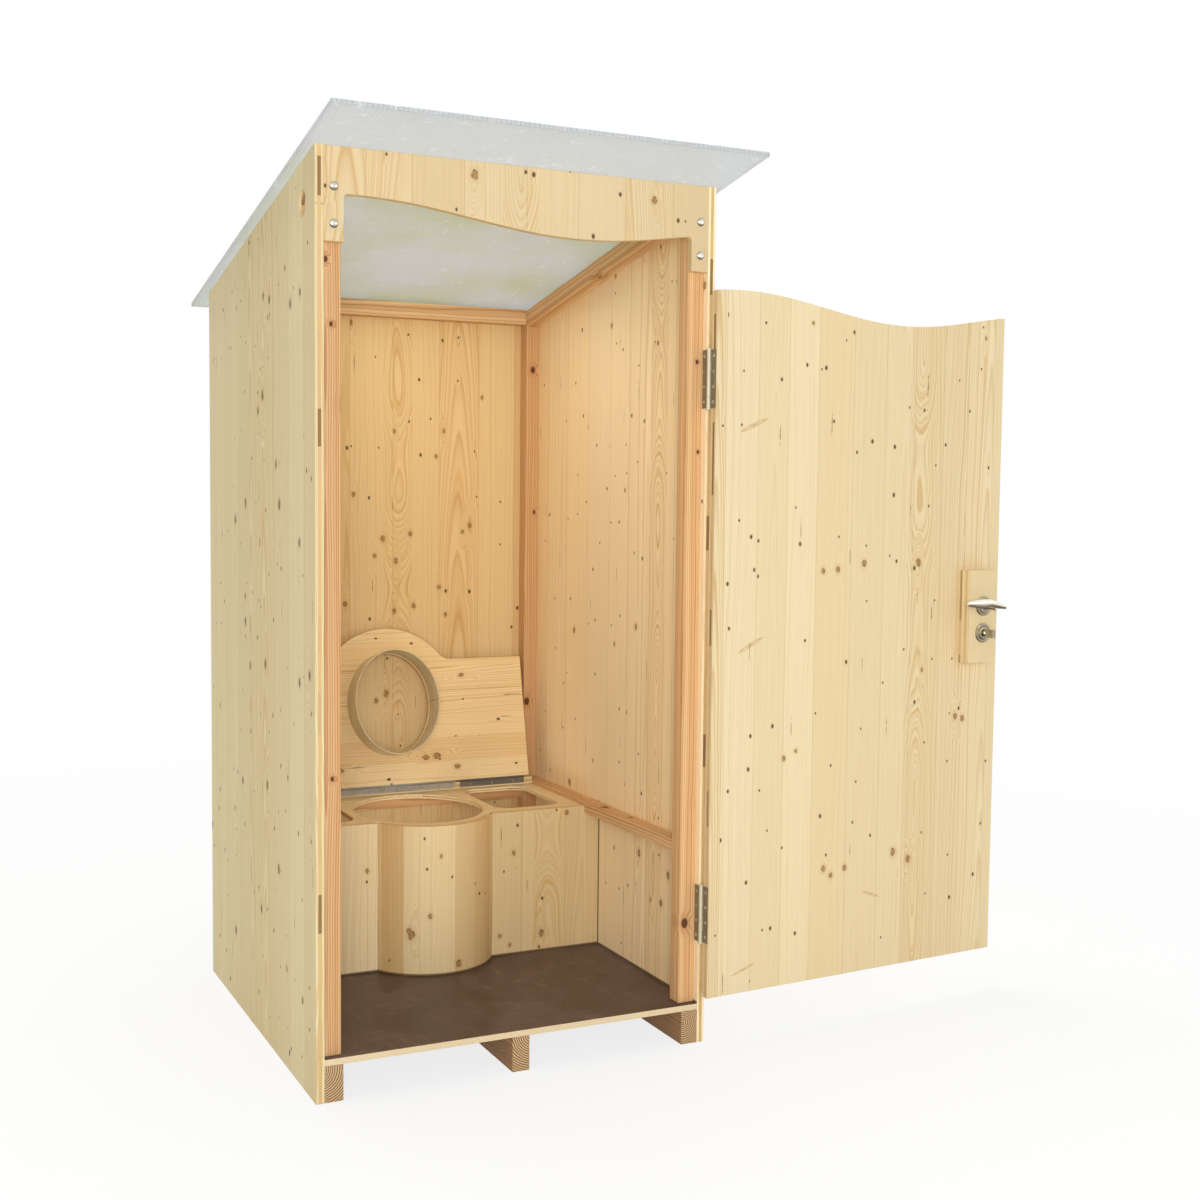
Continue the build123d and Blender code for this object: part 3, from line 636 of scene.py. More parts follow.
# place across and along, half length, half width, and slant in degrees
DOOR_SPIKES = (
    (0.36, 1.005, 0.042, 0.0055, -26), (0.36, 1.552, 0.045, 0.006, -23),
    (0.365, 0.18, 0.036, 0.004, -18), (-0.045, 0.325, 0.03, 0.004, 20))
BLOCK_WOOD = dict(light="E1CEA2", warm="D8BC8C", knots=0.0, pins=0.0, core=("CDB17E", "A68A5A", "A08253"))
# The right wall's pale, warm tone is painted light, for the light that bounces round inside the cabin, and
# the left wall's duller tone is painted shade.
BOARDS = {
    "left_wall": dict(seed=3.1, light="E2D6AD", warm="D8C492", inside=BOUNCE_LIGHT_WARMTH, knots=0.5, streaks=0.5,
                      lines=0.9, pins=0.45, knot_tone="47310F", big_knots=LEFT_WALL_KNOTS),
    "right_wall": dict(seed=11.7, light="FFEBC4", warm="F8DAA6", lines=0.8, knots=0.55, streaks=0.5,
                       foot=FLOOR_TOP, corner=BOX_CORNER, heart=-0.30,
                       big_knots=((-0.215, 0.415, 0.008), (-0.38, 0.39, 0.008), (-0.015, 1.84, 0.006))),
    "back_wall": dict(seed=23.4, light="E4D3A8", warm="D8BB8A", inside=BOUNCE_LIGHT_WARMTH, knots=0.25, lines=0.75,
                      streaks=0.55, heart=0.045, big_knots=BACK_WALL_KNOTS),
    "lintel": dict(seed=5.8, light="D9C7A1", warm="D0B689", lines=0.75, streaks=0.35, heart=-0.015,
                   big_knots=((-0.13, 2.095, 0.009), (0.33, 2.08, 0.007))),
    "door_panel": dict(seed=41.2, light="E6D6B0", warm="DEC593", knots=0.2, streaks=0.45, lines=0.8,
                       stave=0.1, spread=(0.1, 0.6), heart=-0.19, pins=0.5, big_knots=DOOR_KNOTS,
                       spikes=DOOR_SPIKES),
    "lock_block_base": dict(seed=47.9, **BLOCK_WOOD),
    "lock_block_cover": dict(seed=52.3, **BLOCK_WOOD),
    "box_left_panel": dict(seed=61.1, light="F3E0B4", warm="E9CC98", foot=FLOOR_TOP,
                           big_knots=((-0.2, 0.375, 0.005),)),
    "box_right_panel": dict(seed=67.8, light="DFC99B", warm="D4B582", foot=FLOOR_TOP, streaks=0.5,
                            knots=0.15, heart=0.325,
                            big_knots=((0.22, 0.385, 0.0055), (0.305, 0.15, 0.008), (0.18, 0.155, 0.0055),
                                       (0.21, 0.127, 0.0045), (0.38, 0.485, 0.006))),
    "seat_top_board": dict(seed=71.6, thick=12 * MM, ply=4 * MM, light="F5E4BC", warm="ECD09E"),
    "seat_hinge_strip": dict(seed=77.3, thick=21 * MM),
    "seat_lid": dict(seed=83.9, thick=16 * MM, ply=5 * MM, stave=0.072, knots=0.12, lines=0.9, streaks=0.6,
                     light="F2DAAA", warm="E6C188",
                     big_knots=((0.33, 0.094, 0.008), (0.328, 0.128, 0.009), (0.093, 0.222, 0.006),
                                (0.353, -0.164, 0.007))),
}
ROUNDED = {"lintel": 2.5 * MM, "lock_block_base": 2.5 * MM, "lock_block_cover": 2.5 * MM,
           "seat_lid": 2.0 * MM, "seat_top_board": 2.0 * MM}
for node, look in BOARDS.items():
    board = spruce("three_layer_spruce_" + node, lambda tree: own_place(tree, *LAID[node]), **look)
    softened(node, board, ROUNDED.get(node, 1.0 * MM))
print("softened", len(BOARDS), "boards")

# %% [markdown]
# The round front is kerfed or laminated from narrow upright staves, so its grain follows the
# curve: across is the arc length, along is the height, and depth is the radius.

# %% The round front of the seat box
ROUND_MIDDLE = Vector((-0.007, 0.120, 0))
ROUND_RADIUS = 0.184                      # of its outer face


def round_place(tree):
    """The same three directions as for a flat board, and a normal that is never a side edge."""
    coords = add(tree, "TexCoord").outputs
    moved = add(tree, "VectorMath", [coords["Object"], ROUND_MIDDLE], "SUBTRACT")
    flat_x, flat_y, height = add(tree, "SeparateXYZ", [moved]).outputs
    angle = add(tree, "Math", [flat_x, add(tree, "Math", [flat_y, -1.0], "MULTIPLY")], "ARCTAN2")
    arc = add(tree, "Math", [angle, ROUND_RADIUS], "MULTIPLY")
    radius = distance_from(tree, (0, 0, 0), moved, (1, 1, 0))
    depth = add(tree, "Math", [radius, ROUND_RADIUS - BOARD / 2], "SUBTRACT")
    upright = add(tree, "SeparateXYZ", [coords["Normal"]]).outputs[2]
    return add(tree, "CombineXYZ", [arc, height, depth]), add(tree, "CombineXYZ", [0, upright, 1])


round_front_spruce = spruce(
    "three_layer_spruce_round_front", round_place, 90.4, stave=0.07, light="ECD7A8", warm="D2AE77",
    spread=(0.0, 0.95), streaks=0.5, lines=0.8, foot=FLOOR_TOP, knots=0.2,
    big_knots=((-0.10, 0.21, 0.010), (0.03, 0.125, 0.008), (-0.05, 0.26, 0.0055)))
softened("box_round_front", round_front_spruce)
print("round front, arc radius", ROUND_RADIUS)

# %% [markdown]
# The frame is planed larch: reddish brown, with hard dark latewood that shows as stripes along
# every face and arcs on every end. The same rings are seen at two widths, because slow and fast
# years come in groups. Knots are dark and tight, some at random and the plainest listed one by one.

# %% Larch
LARCH_BAND, LARCH_SWIRL, LARCH_KNOT = "C88F55", "A8673A", "5B3417"
LARCH_RING = 5.5 * MM
LARCH_SWAY, LARCH_SWELL = 26 * MM, 9 * MM  # how far the rings wander, and how far a knot pushes them
LARCH_WANDER = (8, 1.1, 8)                # they wander most slowly along the log
LARCH_YEARS = 105.0                       # groups of good and poor years in a metre of wood
RANDOM_KNOTS = 0.3                        # share of the cells that have a knot
KNOT_CELLS = (9.0, 2.6, 9.0)              # cells per metre for random knots
RANDOM_KNOT, RANDOM_SWIRL = (10 * MM, 6 * MM), (32 * MM, 8 * MM)


def larch_knots(tree, place, log_place, big_knots):
    """How far a point is inside a knot, and inside the swirl of rings round one."""
    cells = add(tree, "VectorMath", [log_place, KNOT_CELLS], "MULTIPLY")
    spot = add(tree, "TexVoronoi", {"Vector": cells, "Scale": 1, "Randomness": 1}, feature="F1")
    wide, tall, deep = KNOT_CELLS
    far = distance_from(tree, spot.outputs["Position"], cells, (1 / wide, 0.6 / tall, 1 / deep))
    chance = add(tree, "SeparateColor", [spot.outputs["Color"]]).outputs[1]
    spots = [(far, add(tree, "Math", [chance, RANDOM_KNOTS], "LESS_THAN"), RANDOM_KNOT, RANDOM_SWIRL)]
    for across, along, size in big_knots:
        far = distance_from(tree, (across, along, 0), place, (1, 0.7, 0))
        spots.append((far, 1.0, (size * 1.2, size * 0.8), (size * 3.2, size)))
    found = [0.0, 0.0]
    for far, shown, *fades in spots:
        for number, (start, end) in enumerate(fades):
            part = add(tree, "MapRange", {"Value": far, "From Min": start, "From Max": end},
                       interpolation_type="SMOOTHSTEP")
            part = add(tree, "Math", [part, shown], "MULTIPLY")
            found[number] = add(tree, "Math", [found[number], part], "MAXIMUM")
    return found


def larch(name, node, across, along, seed, light, dark, ring=LARCH_RING, end_grain="8A6340", big_knots=()):
    material, tree = new_material(name)
    low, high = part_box(node)
    place, facing = own_place(tree, (low + high) / 2, across, along)
    off_pith = (36 * MM * math.sin(seed * 7), seed, 47 * MM * math.cos(seed * 5))
    log_place = add(tree, "VectorMath", [place, off_pith], "ADD")
    knot, swirl = larch_knots(tree, place, log_place, big_knots)
    slow = add(tree, "VectorMath", [log_place, LARCH_WANDER], "MULTIPLY")
    slow = add(tree, "TexNoise", {"Vector": slow, "Scale": 1, "Detail": 3})
    radius = distance_from(tree, (0, 0, 0), log_place, (1, 0, 1))
    radius = add(tree, "Math", [slow, LARCH_SWAY, radius], "MULTIPLY_ADD")
    radius = add(tree, "Math", [swirl, LARCH_SWELL, radius], "MULTIPLY_ADD")
    line = ring_lines(tree, radius, ring, 1.8, 0.86)
    years = add(tree, "Math", [radius, LARCH_YEARS, seed], "MULTIPLY_ADD")
    years = add(tree, "TexNoise", {"W": years, "Scale": 1, "Detail": 1}, noise_dimensions="1D")
    band = add(tree, "MapRange", {"Value": years, "From Min": 0.42, "From Max": 0.62})
    end = add(tree, "Math", [add(tree, "SeparateXYZ", [facing]).outputs[1]], "ABSOLUTE")
    colour = coated(tree, light, (band, 0.62, LARCH_BAND), (line, 0.9, dark), (swirl, 0.35, LARCH_SWIRL),
                    (knot, 1, LARCH_KNOT), (end, 0.8, end_grain),
                    (add(tree, "Math", [end, line], "MULTIPLY"), 1.8, dark))
    bare_wood(tree, colour, line, 0.15, 0.6)
    return material


print("larch rings are", LARCH_RING / MM, "mm wide")

# %% [markdown]
# Every timber has its grain along its length. The rails were cut from paler wood than the posts,
# and the joists are sawn, not planed, with pale ends. The side rails under the roof slope with it:
# it falls 200 mm over the cabin's depth of 1084 mm.

# %% Posts, rails and joists
SLOPE = math.atan2(200, 1084)
UNDER_ROOF = Vector((0, math.cos(SLOPE), -math.sin(SLOPE)))
TIMBERS = {"front_left_post": Z, "front_right_post": Z, "back_left_post": Z, "back_right_post": Z,
           "left_top_rail": UNDER_ROOF, "right_top_rail": UNDER_ROOF, "back_top_rail": X,
           "left_seat_rail": Y, "right_seat_rail": Y, "back_seat_rail": X}
POST, RAIL = ("D8B282", "A1632F"), ("EDCD9C", "B0743C")
SUNLIT_POST = ("E8C492", "B5743C")        # the front right one
# knots listed one by one: place across and along from the timber's middle, and radius, in metres
POST_KNOTS = {"front_left_post": ((-0.012, 0.80, 0.0045), (0.0, 0.66, 0.004), (0.002, -0.35, 0.004)),
              "front_right_post": ((0.006, 0.62, 0.004), (0.012, 0.40, 0.0035), (-0.006, -0.78, 0.009)),
              "back_right_post": ((0.0, 0.76, 0.007), (0.008, 0.33, 0.004), (-0.012, -0.25, 0.008)),
              "right_seat_rail": ((0.0, -0.05, 0.007), (0.004, -0.20, 0.0045))}
for number, (node, along) in enumerate(TIMBERS.items()):
    across = X if abs(along.x) < 0.5 else Z
    tones = SUNLIT_POST if node == "front_right_post" else RAIL if "rail" in node else POST
    planed = larch("planed_larch_" + node, node, across, along, 1.7 * number + 0.4, *tones,
                   big_knots=POST_KNOTS.get(node, ()))
    softened(node, planed, 1.5 * MM)
for number, node in enumerate(("left_joist", "middle_joist", "right_joist")):
    sawn = larch("sawn_larch_" + node, node, X, Y, 2.3 * number + 20.9, "A9835A", "5E3F26", ring=5.4 * MM,
                 end_grain="E0BF90")
    softened(node, sawn, 1.5 * MM)
print("softened", len(TIMBERS) + 3, "timbers")

# %% [markdown]
# The floor is birch plywood pressed with a dark brown phenol film, satin and slightly clouded,
# with the pale scuffs of shoes in two directions. Only its edges show the wood: thin light and
# tan veneers in turn, 1.4 mm each.

# %% Film-faced plywood floor
FILM_DARK, FILM_LIGHT, SCUFF, VENEER, CROSS_VENEER = "42302A", "67534A", "8C7B70", "E6D6B4", "CDB287"
VENEER_THICK = 1.4 * MM
SCUFFS = ((0.25, 0.0), (-1.3, 3.0))       # direction in radians, and a shift to another part of the noise
SCUFF_CELLS = (11.0, 34.0, 1.0)           # in a metre, so a scuff is about 90 mm long and 30 mm wide


def film_faced():
    material, tree = new_material("film_faced_birch_plywood")
    coords = add(tree, "TexCoord").outputs
    height = add(tree, "SeparateXYZ", [coords["Object"]]).outputs[2]
    facing = add(tree, "SeparateXYZ", [coords["Normal"]]).outputs[2]
    cloud = patches(tree, coords["Object"], 0.40, 0.62, scale=7, detail=7, roughness=0.7)
    film = coated(tree, FILM_DARK, (cloud, 1, FILM_LIGHT))
    for angle, shift in SCUFFS:
        drawn = add(tree, "Mapping", {"Vector": coords["Object"], "Location": (shift, 0, 0),
                                      "Rotation": (0, 0, angle)}, vector_type="TEXTURE")
        drawn = add(tree, "VectorMath", [drawn, SCUFF_CELLS], "MULTIPLY")
        scuff = add(tree, "Math", [patches(tree, drawn, 0.60, 0.72), cloud], "MULTIPLY")
        film = coated(tree, film, (scuff, 0.45, SCUFF))
    sheet = add(tree, "Math", [height, 1 / VENEER_THICK], "MULTIPLY")
    stripe = add(tree, "Math", [sheet, 1.0], "PINGPONG")
    top = add(tree, "Math", [add(tree, "Math", [facing], "ABSOLUTE"), 0.6], "GREATER_THAN")
    colour = coated(tree, VENEER, (stripe, 1, CROSS_VENEER), (top, 1, film))
    rough = add(tree, "MapRange", {"Value": cloud, "To Min": 0.36, "To Max": 0.58})
    finish_material(tree, add(tree, "BsdfPrincipled", {"Base Color": colour, "Roughness": rough}))
    return material


softened("floor_panel", film_faced(), 0.5 * MM)
low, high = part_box("floor_panel")
print("floor of", round((high.z - low.z) / MM), "mm plywood")

# %% [markdown]
# The roof is one sheet of twin-wall polycarbonate: two skins joined by webs about 11 mm
# apart. Light passes through it and fills the cabin from above. The webs show as a fine hatch that
# runs up the slope. Over the cabin the sheet is clouded darker and yellow-green, painted shade for
# its dimmer, yellowish look there; the part that overhangs the door stays clear.
# The surface mixes plain plastic with a translucent shader, which lets soft light through and is
# quicker to render than glass.

# %% Twin-wall polycarbonate
WEB_PITCH = 11 * MM
SHEET, SHADE_TINT_OVER_CABIN, FLECK, WEB = "CDD0D2", "C6CABA", "E6EAEC", "A9ACAE"
FRONT_WALL = (-0.53, -0.45)               # where the painted shade fades in behind the front


def twin_wall():
    material, tree = new_material("twin_wall_polycarbonate")
    place = add(tree, "TexCoord").outputs["Object"]
    across, behind, _ = add(tree, "SeparateXYZ", [place]).outputs
    web = add(tree, "Math", [add(tree, "Math", [across, 1 / WEB_PITCH], "MULTIPLY"), 0.5], "ADD")
    web = add(tree, "Math", [web, 0.5], "PINGPONG")
    web = add(tree, "MapRange", {"Value": web, "From Min": 0.10, "From Max": 0.02})
    cloud = patches(tree, place, 0.42, 0.66, scale=2.6, detail=5, roughness=0.6)
    over_cabin = add(tree, "MapRange", {"Value": behind, "From Min": FRONT_WALL[0], "From Max": FRONT_WALL[1]})
    fleck = patches(tree, place, 0.60, 0.72, scale=42, detail=3)
    # painted shade: darker yellow-green clouds over the cabin, none on the overhang
    colour = coated(tree, SHEET, (cloud, over_cabin, SHADE_TINT_OVER_CABIN), (fleck, 0.45, FLECK), (web, 0.26, WEB))
    body = add(tree, "BsdfPrincipled", {"Base Color": colour, "Roughness": 0.3})
    through = add(tree, "BsdfTranslucent", {"Color": colour})
    finish_material(tree, add(tree, "MixShader", [0.55, body, through]))
    return material


print("webs every", WEB_PITCH / MM, "mm")

# %% [markdown]
# The sawn ends of the sheet are open flutes. The copy of the sheet is cut at every web, and then
# each flute is a face of the end, inset by the skin's thickness and pushed in.

# %% The roof sheet
SKIN, FLUTE_DEPTH = 0.8 * MM, 1.5 * MM


def fluted_sheet():
    mesh = merged_copy("roof_sheet")
    low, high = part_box("roof_sheet")
    count = round((high.x - low.x) / WEB_PITCH)
    for number in range(1, count):
        cut = low.x + (high.x - low.x) * number / count
        bmesh.ops.bisect_plane(mesh, geom=mesh.verts[:] + mesh.edges[:] + mesh.faces[:],
                               plane_co=(cut, 0, 0), plane_no=(1, 0, 0), dist=1e-6)
    mesh.normal_update()
    ends = [face for face in mesh.faces if abs(face.normal.x) < 0.1 and abs(face.normal.y) > 0.9]
    bmesh.ops.inset_individual(mesh, faces=ends, thickness=SKIN, depth=-FLUTE_DEPTH, use_even_offset=True)
    to_object(mesh, "roof_sheet_fluted", "cabin", twin_wall(), ("roof_sheet",))
    return count


print("roof sheet with", fluted_sheet(), "flutes")

# %% [markdown]
# Steel, zinc and nickel are told apart by colour and by how rough they are. Each metal is
# painted lighter where it faces up and darker where it faces down: painted light and painted shade.
# The metal function takes both colours and mixes them by the upward part of the normal. Thin zinc on
# sheet looks more like grey paint than like a mirror, so most of these are only partly metallic.
# The knuckle round the door's pin is painted pale, a painted highlight, and a rolled strip shows the seam
# of its ends.

# %% Metals
KNUCKLE_HIGHLIGHT, SEAM_SHADE = "CCC5AA", "5A4A33"
SEAM_HALF_WIDTH = 1 * MM


def metal(name, upper, lower, roughness, metallic=1.0, grain=40, pin=None, seam=None):
    material, tree = new_material(name)
    coords = add(tree, "TexCoord").outputs
    cloud = add(tree, "TexNoise", {"Vector": coords["Object"], "Scale": grain, "Detail": 4})
    rough = add(tree, "MapRange", {"Value": cloud, "From Min": 0.3, "From Max": 0.7,
                                   "To Min": roughness - 0.07, "To Max": roughness + 0.07})
    worn = add(tree, "MapRange", {"Value": cloud, "From Min": 0.35, "From Max": 0.65,
                                  "To Min": 0.88, "To Max": 1.04})
    # painted light and shade: faces that look up take the lit colour, faces that look down the shaded one
    up = add(tree, "SeparateXYZ", [coords["Normal"]]).outputs[2]
    lit = add(tree, "MapRange", {"Value": up, "From Min": -0.50, "From Max": -0.05},
              interpolation_type="SMOOTHSTEP")
    coats = [(lit, 1, upper), (1.0, 1, worn, "MULTIPLY")]
    # painted highlight: the hinge knuckle round the pin is painted pale
    if pin:
        middle, radius = pin
        beside = distance_from(tree, middle, coords["Object"], (1, 1, 0))
        coats.append((add(tree, "Math", [beside, radius], "LESS_THAN"), 1, KNUCKLE_HIGHLIGHT))
    if seam:
        middle, along = seam
        gap = add(tree, "VectorMath", [coords["Object"], middle], "SUBTRACT")
        beside = add(tree, "VectorMath", [gap, along], "DOT_PRODUCT").outputs["Value"]
        beside = add(tree, "Math", [add(tree, "Math", [beside], "ABSOLUTE"), SEAM_HALF_WIDTH], "LESS_THAN")
        right = add(tree, "SeparateXYZ", [gap]).outputs[0]
        right = add(tree, "Math", [right, 0.0], "GREATER_THAN")
        coats.append((add(tree, "Math", [beside, right], "MULTIPLY"), 0.7, SEAM_SHADE))
    finish_material(tree, add(tree, "BsdfPrincipled", {"Base Color": coated(tree, lower, *coats),
                                                       "Metallic": metallic, "Roughness": rough}))
    return material


# each metal: a painted lit colour for faces that look up, then a painted shaded colour for faces that look
# down
STEEL = metal("tumbled_hinge_steel", "81745A", "655941", 0.48, 0.25, 120, pin=(door_pin, 5.8 * MM))
ZINC = metal("zinc_plated_steel", "B4B0A4", "8A867C", 0.42, 0.4, 90)
DULL_ZINC = metal("dull_zinc_plated_steel", "7C766C", "5F5A52", 0.5, 0.4, 90)
# The nickel's two colours paint the lever's top band in light and its belly in shade.
NICKEL = metal("satin_nickel", "F6F1E6", "6B5C46", 0.33, 0.8)
TURN = metal("satin_nickel_turn", "A79D86", "50483A", 0.30, 0.95)
# painted shade: the joist bolts are near black, to stand in for the shade in their recesses
DARK_BOLT_FOR_SHADE = metal("bolt_dark_for_recess_shade", "2A2117", "1F180F", 0.5, 0.2)
BRIGHT = metal("bright_zinc_bolt", "D9D6CC", "8C857A", 0.25)
# The screws' pale colour is partly painted highlight: it stands in for the glint on their heads.
SCREW = metal("screw_steel", "D6CCB6", "A89C86", 0.30, 0.6)
COLLAR = metal("rolled_galvanised_strip", "D9CDAC", "CDBF9A", 0.40, 0.22, 25,
               seam=(raised((-0.007, 0.1665, 0.47)), lid_turn @ Y))
slots = {part["node"]: part["material_slot"] for part in frame["record"]["subparts"]}
for node, thing in frame["nodes"].items():
    if slots[node] in ("dark_steel", "zinc_plated_steel"):
        zinc = DULL_ZINC if node.startswith("short_lid_hinge") else ZINC
        thing.data.materials.clear()
        thing.data.materials.append(STEEL if slots[node] == "dark_steel" else zinc)
for one in (STEEL, ZINC, DULL_ZINC, NICKEL, TURN, DARK_BOLT_FOR_SHADE, BRIGHT, SCREW, COLLAR):
    print("metal:", one.name)

# %% [markdown]
# Bolts, roses, knobs and grips are all a ring carried along and reshaped as it goes, the way a
# lathe or a bending jig makes them. One helper does it: it starts with a circle, extrudes
# its edge, and moves the new ring to the next station. Stations are matrices for a circle
# of radius one, so a ring can be round or oval. Profiles are in millimetres.

# %% Rings carried along a line
def lofted(mesh, stations, segments=32, squash=None):
    ring = bmesh.ops.create_circle(mesh, cap_ends=True, radius=1, segments=segments,
                                   matrix=Matrix.Identity(4))["verts"]
    shape = [squash(vert.co) if squash else vert.co.copy() for vert in ring]
    edges = ring[0].link_faces[0].edges[:]
    for number, station in enumerate(stations):
        if number:
            grown = bmesh.ops.extrude_edge_only(mesh, edges=edges)["geom"]
            edges = [part for part in grown if isinstance(part, bmesh.types.BMEdge) and
                     all(vert in grown for vert in part.verts)]
            ring = [next(edge.other_vert(vert) for edge in vert.link_edges
                         if edge.other_vert(vert) in grown) for vert in ring]
        for vert, co in zip(ring, shape):
            vert.co = station @ co
    bmesh.ops.contextual_create(mesh, geom=edges)


def ring_at(place, axis, wide, tall):
    """Matrix of a ring: its middle in metres, the level way it faces, and its half sizes in mm."""
    axis = Vector(axis).normalized()
    side = Z.cross(axis).normalized()
    turned = Matrix((side, axis.cross(side), axis)).transposed().to_4x4()
    return Matrix.Translation(place) @ turned @ Matrix.Diagonal((wide * MM, tall * MM, 1, 1))


def turned_piece(mesh, place, axis, profile, segments=40):
    """A piece turned on a lathe: pairs of height along the axis and radius, in mm."""
    lofted(mesh, [ring_at(Vector(place) + Vector(axis) * height * MM, axis, radius, radius)
                  for height, radius in profile], segments)


def finished(mesh, name, body, material, stands_for=(), swung=None):
    """Swing the piece with the door if asked, point its faces outward, and smooth its curves."""
    if swung:
        turn, pin = swung
        carry = Matrix.Translation(pin) @ turn.to_4x4() @ Matrix.Translation(-pin)
        bmesh.ops.transform(mesh, matrix=carry, verts=mesh.verts)
    bmesh.ops.recalc_face_normals(mesh, faces=mesh.faces)
    piece = to_object(mesh, name, body, material, stands_for)
    piece.data.shade_smooth()
    piece.data.set_sharp_from_angle(angle=math.radians(35))


WITH_DOOR = (door_turn, door_pin)
print("ring helpers ready")

# %% [markdown]
# The lintel is held to the posts by two bolts at each end. They are bright zinc button heads
# 20 mm across with a socket in the middle. The joist bolts are hexagon heads on washers, sunk in
# the round recesses at the foot of each side wall; their near-black colour and their rise almost to
# the surface are painted shade, for the dark inside of the recesses.

# %% Lintel and joist bolts
# pairs of height and radius, in mm
BUTTON = ((0, 10), (1.4, 10), (3.2, 9.3), (5, 7.4), (5.9, 5.2), (6.2, 3.3), (6.1, 2.9), (3.4, 2.7))
WASHER = ((0, 7.6), (1.4, 7.6))
HEXAGON = ((1.4, 7.3), (7.6, 7.3), (8.2, 6.6), (8.3, 3))
LINTEL_BOLTS = [(side * 0.4575, height) for side in (-1, 1) for height in (2.039, 1.9585)]
JOIST_BOLTS = [(side, y) for side in (-1, 1) for y in (-0.311, 0.317)]
RECESS_FLOOR, JOIST_MIDDLE = 0.491, 0.0425

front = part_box("lintel")[0].y
mesh = bmesh.new()
for x, height in LINTEL_BOLTS:
    turned_piece(mesh, (x, front, height), (0, -1, 0), BUTTON)
finished(mesh, "lintel_bolts", "cabin", BRIGHT)
mesh = bmesh.new()
for side, y in JOIST_BOLTS:
    for profile, segments in ((WASHER, 40), (HEXAGON, 6)):
        turned_piece(mesh, (side * RECESS_FLOOR, y, JOIST_MIDDLE), (side, 0, 0), profile, segments)
finished(mesh, "joist_bolts", "cabin", DARK_BOLT_FOR_SHADE)
print("bolts:", len(LINTEL_BOLTS), "button heads,", len(JOIST_BOLTS), "hexagon heads")

# %% [markdown]
# Each door hinge leaf has four countersunk screws, and the long lid hinge one every 60 mm. A
# screw head stands 0.3 mm proud and has a driving recess, small enough for the leaves to close.

# %% Hinge screws
SCREW_RISES = (-0.056, -0.019, 0.019, 0.056)
WALL_LEAF, DOOR_LEAF = (0.478, -0.5345), (0.477, -0.5375)   # x and y, with the door closed
LID_LEAF = (0.4073, 0.5125)                                 # y and z
LID_SCREW_PITCH = 60 * MM


def screw_head(mesh, place, axis, radius):
    profile = ((0, radius), (0.3, radius * 0.92), (0.32, radius * 0.5), (-0.6, radius * 0.42))
    turned_piece(mesh, place, axis, profile, 16)


wall_mesh, door_mesh, lid_mesh = bmesh.new(), bmesh.new(), bmesh.new()
for node in ("lower_hinge_door_leaf", "upper_hinge_door_leaf"):
    low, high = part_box(node)
    for rise in SCREW_RISES:
        height = (low.z + high.z) / 2 + rise
        screw_head(wall_mesh, (*WALL_LEAF, height), (-1, 0, 0), 4.2)
        screw_head(door_mesh, (*DOOR_LEAF, height), (1, 0, 0), 4.2)
for node in ("long_lid_hinge_fixed_leaf", "short_lid_hinge_fixed_leaf"):
    low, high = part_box(node)
    count = max(2, round((high.x - low.x) / LID_SCREW_PITCH))
    for number in range(count):
        x = low.x + (high.x - low.x) * (number + 0.5) / count
        screw_head(lid_mesh, (x, *LID_LEAF), (0, -1, 0), 2.6)
finished(wall_mesh, "hinge_wall_screws", "cabin", SCREW)
finished(door_mesh, "hinge_door_screws", "door", SCREW, swung=WITH_DOOR)
finished(lid_mesh, "lid_hinge_screws", "cabin", SCREW)
print("hinge screws set")

# %% [markdown]
# The collar is a strip of galvanised sheet rolled to an oval and fixed under the lid. Its
# free rim is dressed round, and the two ends meet in one butt joint on the right.

# %% Seat collar
mesh = merged_copy("seat_collar")
round_edges(mesh, 0.4 * MM, segments=3, sharper_than=60)
finished(mesh, "seat_collar_dressed", "lid", COLLAR, ("seat_collar",))

# %% [markdown]
# The lever set is satin nickel: a bowed grip on each side, whose upper face is a bright band and
# whose lower edge runs straight past the neck, and a neck that joins it to the shaft. It is drawn
# on the closed door and swung with it. A grip is a row of ovals from its tail to its tip.

# %% Lever handle
LOCK_X, LEVER_HEIGHT, TURN_HEIGHT = -0.384, 1.086, 1.013
INNER_FACE, OUTER_FACE = -0.487, -0.547
SIDES = (("inner", INNER_FACE, 1), ("outer", OUTER_FACE, -1))
GRIP_OFF = 0.056
# along, up, and half sizes up and out, in mm
GRIP = ((-29, -1.2, 2.4, 2.4), (-28, -0.9, 4.4, 4.0), (-24, 0.6, 5.6, 4.6), (-10, 3.2, 7.2, 5.4),
        (8, 7.6, 9.4, 5.9), (26, 11.6, 10.2, 6.0), (40, 11.2, 11.8, 6.0), (52, 10.4, 12.6, 6.0),
        (72, 10.9, 10.9, 5.8), (92, 10.9, 8.4, 5.2), (105, 10.9, 6.0, 4.4), (108.4, 10.9, 4.6, 3.2),
        (109, 10.9, 2.8, 1.8))
NECK = ((6, 8.8), (12, 8.8), (16, 7.8), (34, 7.5), (44, 8.4), (54, 8.8))


# The bright face and shaded belly come partly from this shape and partly from the nickel's painted light
# and painted shade.
def belly(co):
    """Full above, drawn back below, so the grip has a bright face and a shaded belly."""
    below = max(0.0, 0.1 - co.y)
    return Vector((co.x * (1 - 0.45 * below), co.y, 0))


